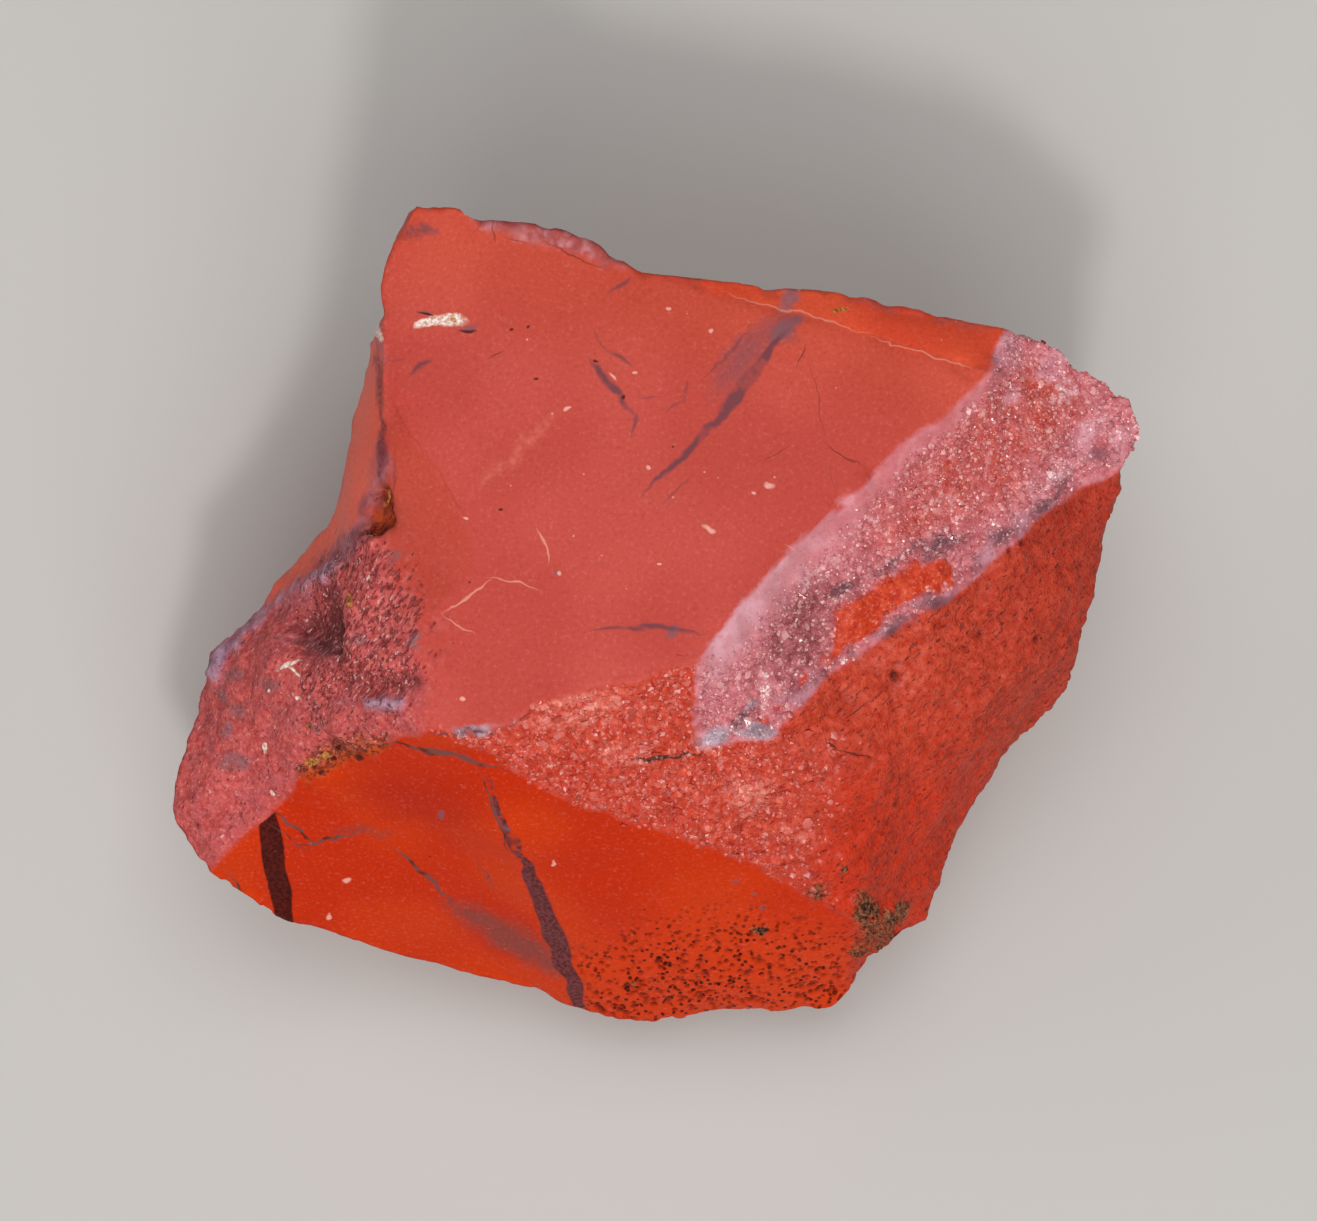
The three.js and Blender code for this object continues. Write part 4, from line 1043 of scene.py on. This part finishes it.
def draw_deep_veins(base, place, grainy, patchy):
    """The veins that cross the sides the view doesn't show."""
    sway = Wire.node("ShaderNodeTexNoise", {}, {"Vector": place, "Scale": 0.12, "Detail": 4.0}, "Color")
    bent = vector("ADD", place, vector("MULTIPLY", sway, (5, 5, 5)))
    hidden = (1 - marked("seen")) * (0.35 + 0.65 * patchy)
    uneven = rise(mottle(place, 4, 1), 0.35, 0.65) * 1.3 + 0.15
    for through, facing, width in DEEP_VEINS:
        away = vector("DOT_PRODUCT", vector("SUBTRACT", bent, through), facing, "Value")
        half = Wire.math("ABSOLUTE", away - 2.5 * sum(facing)) / uneven
        vein = rise(half, width / 2, width / 4)
        base = mixed(vein * hidden * 0.85, base, mixed(grainy, (96, 36, 36), (132, 74, 82)))
    return base


def jasper_material(name, field):
    """Red jasper: waxy red, orange where it broke fresh, purple-grey skin, with the marks of one field."""
    material = start_material(name)
    place = scaled_place()
    flecks = mottle(place, 0.2, 2, 0.65)
    grainy = rise(flecks, 0.36, 0.64)
    patchy = rise(mottle(place, 0.9, 1), 0.34, 0.5)
    rough, knob, flank = marked("rough"), marked("knob"), marked("flank")
    band, front, speckled = marked("band"), marked("front"), marked("speckled")
    crusty = marked("crusted") + band
    smooth = clamped(1 - rough - crusty)
    base = marked("tint", "Color")
    base = mixed((0.2 + 0.3 * (rough + crusty)) * rise(flecks, 0.5, 0.25), base, (104, 28, 22))
    pale = rise(flecks, 0.54, 0.75) * (0.12 * smooth + 0.45 * (knob + crusty) - 0.15 * band)
    base = mixed(pale, base, (232, 158, 152))
    fibrous = Wire.node("ShaderNodeMapping", {"vector_type": "TEXTURE"}, {
        "Vector": place, "Rotation": (0, 0, math.radians(GRAIN_ANGLE)), "Scale": (SPECK_STRETCH, 1, 1),
    })
    specks = rise(mottle(fibrous, 0.19, 1.5) + 0.2 * speckled, 0.7, 0.8) * rise(speckled, 0, 0.5)
    base = mixed(specks * 0.7, base, mixed(grainy, (84, 32, 34), (134, 58, 58)))
    # Painted highlights: small pale glints drawn out along the knob's grain
    painted_glints = rise(mottle(vector("ADD", fibrous, (3.1, 9.2, 4.4)), 0.2, 1.5) + 0.1 * speckled, 0.72, 0.8)
    base = mixed(painted_glints * knob * 0.7, base, (232, 176, 172))
    if field is None:
        base = draw_deep_veins(base, place, grainy, patchy)
    else:
        vein = rise(marked("dark_vein") + flecks * 0.3, 0.5, 0.8)
        base = mixed(vein, base, mixed(grainy, (88, 30, 30), (118, 58, 62)))
        bar = rise(marked("dark_bar") + flecks * 0.3, 0.5, 0.8)
        base = mixed(bar, base, mixed(grainy, (60, 10, 6), (90, 24, 16)))
        draw = Drawing(place, field)
        base = draw_marks(base, draw, grainy, patchy)
    base = mixed(dots(place, 1.5, 0.08) * smooth * (0.6 - 0.4 * front), base, (236, 160, 140))
    base = mixed(dots(vector("ADD", place, (7.3, 3.1, 5.7)), 2.6, 0.09) * 0.8, base, (96, 24, 16))
    tall = vector("MULTIPLY", place, (1, 1, STEEP_PITS))
    fine_pits = dots(tall, 0.34, 0.12) * patchy * marked("pitted")
    # Painted shade: the small pits darkened
    base = mixed(fine_pits * 0.9, base, (56, 12, 4))
    roughness = 0.44 + rough * 0.26 + front * 0.1 - marked("rim") * 0.1
    fine = mottle(place, 0.13, 1)
    grain = flecks * (0.05 * rough + 0.1 * flank + 0.03 * crusty)
    grain = grain + fine * (0.035 * rough + 0.03 * flank + 0.001) - fine_pits * 0.08 - specks * 0.05
    finish_material(base, clamped(roughness), grain, specular=0.08, glaze=clamped(flank * 0.18))
    return material


def quartz_material():
    """The small crystals: glassy, in the colours of the stone below them, some paler or darker."""
    material = start_material("quartz_crystals")
    place = scaled_place()
    tone, bevel = marked("tone"), marked("bevel")
    base = marked("tint", "Color")
    base = mixed(rise(tone, 0.3, 0.0) * 0.4, base, (130, 48, 44))
    base = mixed(rise(tone, 0.55, 1.0) * (0.18 + 0.37 * bevel), base, (246, 192, 186))
    draw = Drawing(place, WHOLE_CHART)
    base = draw.lay(base, draw.vein, HIP_CRACKS, 0.07, 0.9, HIP_CRACK_COLOUR)
    # Painted highlights on two crystals, and one pale quartz crystal
    base = draw.lay(base, draw.spot, CRUST_QUARTZ_AND_GLINTS, 0.6, 0.8, (246, 226, 222))
    finish_material(base, 0.36 - 0.12 * bevel, height=0.0, specular=0.6)
    return material


def share_out(mesh, skin):
    """Gives each field of the chart its own material, and one more to the faces that the view misses."""
    corners = skin.corners
    columns, rows = FIELDS
    middle, half = np.array(WHOLE_CHART)
    low, size = middle - half, 2 * half / FIELDS
    centres = skin.chart[corners, :2].mean(axis=1)
    cell = np.clip(((centres - low) / size).astype(int), 0, (columns - 1, rows - 1))
    hidden = skin.seen[corners].max(axis=1) == 0
    number = np.where(hidden, 0, 1 + cell[:, 0] * rows + cell[:, 1])
    mesh.materials.clear()
    mesh.materials.append(jasper_material("red_jasper_hidden", None))
    for column in range(columns):
        for row in range(rows):
            field = (low + size * (column + 0.5, row + 0.5), size / 2)
            mesh.materials.append(jasper_material(f"red_jasper_{column}_{row}", field))
    mesh.polygons.foreach_set("material_index", number.astype(np.int32))


def make_floor():
    corners = [(x * FLOOR_REACH, y * FLOOR_REACH, 0) for x, y in ((-1, -1), (1, -1), (1, 1), (-1, 1))]
    mesh = bpy.data.meshes.new("floor")
    mesh.from_pydata(corners, [], [(0, 1, 2, 3)])
    material = start_material("pale_floor")
    finish_material(colour(*FLOOR_COLOUR), roughness=0.7, height=0.0, specular=0.2)
    mesh.materials.append(material)
    add_object("floor", mesh)


def light_studio():
    world = bpy.data.worlds.new("studio")
    world.use_nodes = True
    sky = world.node_tree.nodes["Background"].inputs
    sky["Color"].default_value, sky["Strength"].default_value = SKY_COLOUR, SKY_STRENGTH
    bpy.context.scene.world = world
    for name, direction, distance, size, power in LIGHTS:
        light = bpy.data.lights.new(name, "AREA")
        light.size, light.energy = size, power
        lamp = add_object(name, light)
        lamp.location = VIEW_MIDDLE + Vector(direction).normalized() * distance
        lamp.rotation_euler = Vector(direction).to_track_quat("Z", "Y").to_euler()


def place_camera():
    data = bpy.data.cameras.new("camera")
    data.sensor_width = SENSOR_WIDTH
    data.lens = SENSOR_WIDTH * VIEW_DISTANCE / FRAME_WIDTH
    data.clip_start = NEAREST_SHOWN
    camera = add_object("camera", data)
    camera.location = VIEW_MIDDLE + NEAR_AXIS * VIEW_DISTANCE
    camera.rotation_euler = (math.pi / 2 - VIEW_ELEVATION, 0, 0)
    bpy.context.scene.camera = camera


place_camera()
fine = rounded_copy(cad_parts["jasper_chunk"])
refine_patch(fine, PITTED)
fine.shade_smooth()
stone = add_object("jasper_stone", fine)
skin = Skin(fine)
skin.carve()
skin.paint()
skin.write_marks([
    "seen", "rough", "knob", "flank", "front", "band", "crusted", "rim", "pitted", "speckled", "tint",
])
share_out(fine, skin)
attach(stone, "root")
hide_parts("jasper_chunk")

crystals = grow_crystals(skin, ["seen", "bevel", "tint"])
crystals.data.materials.append(quartz_material())
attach(crystals, "root")

make_floor()
light_studio()
bpy.context.scene.view_settings.view_transform = "Standard"
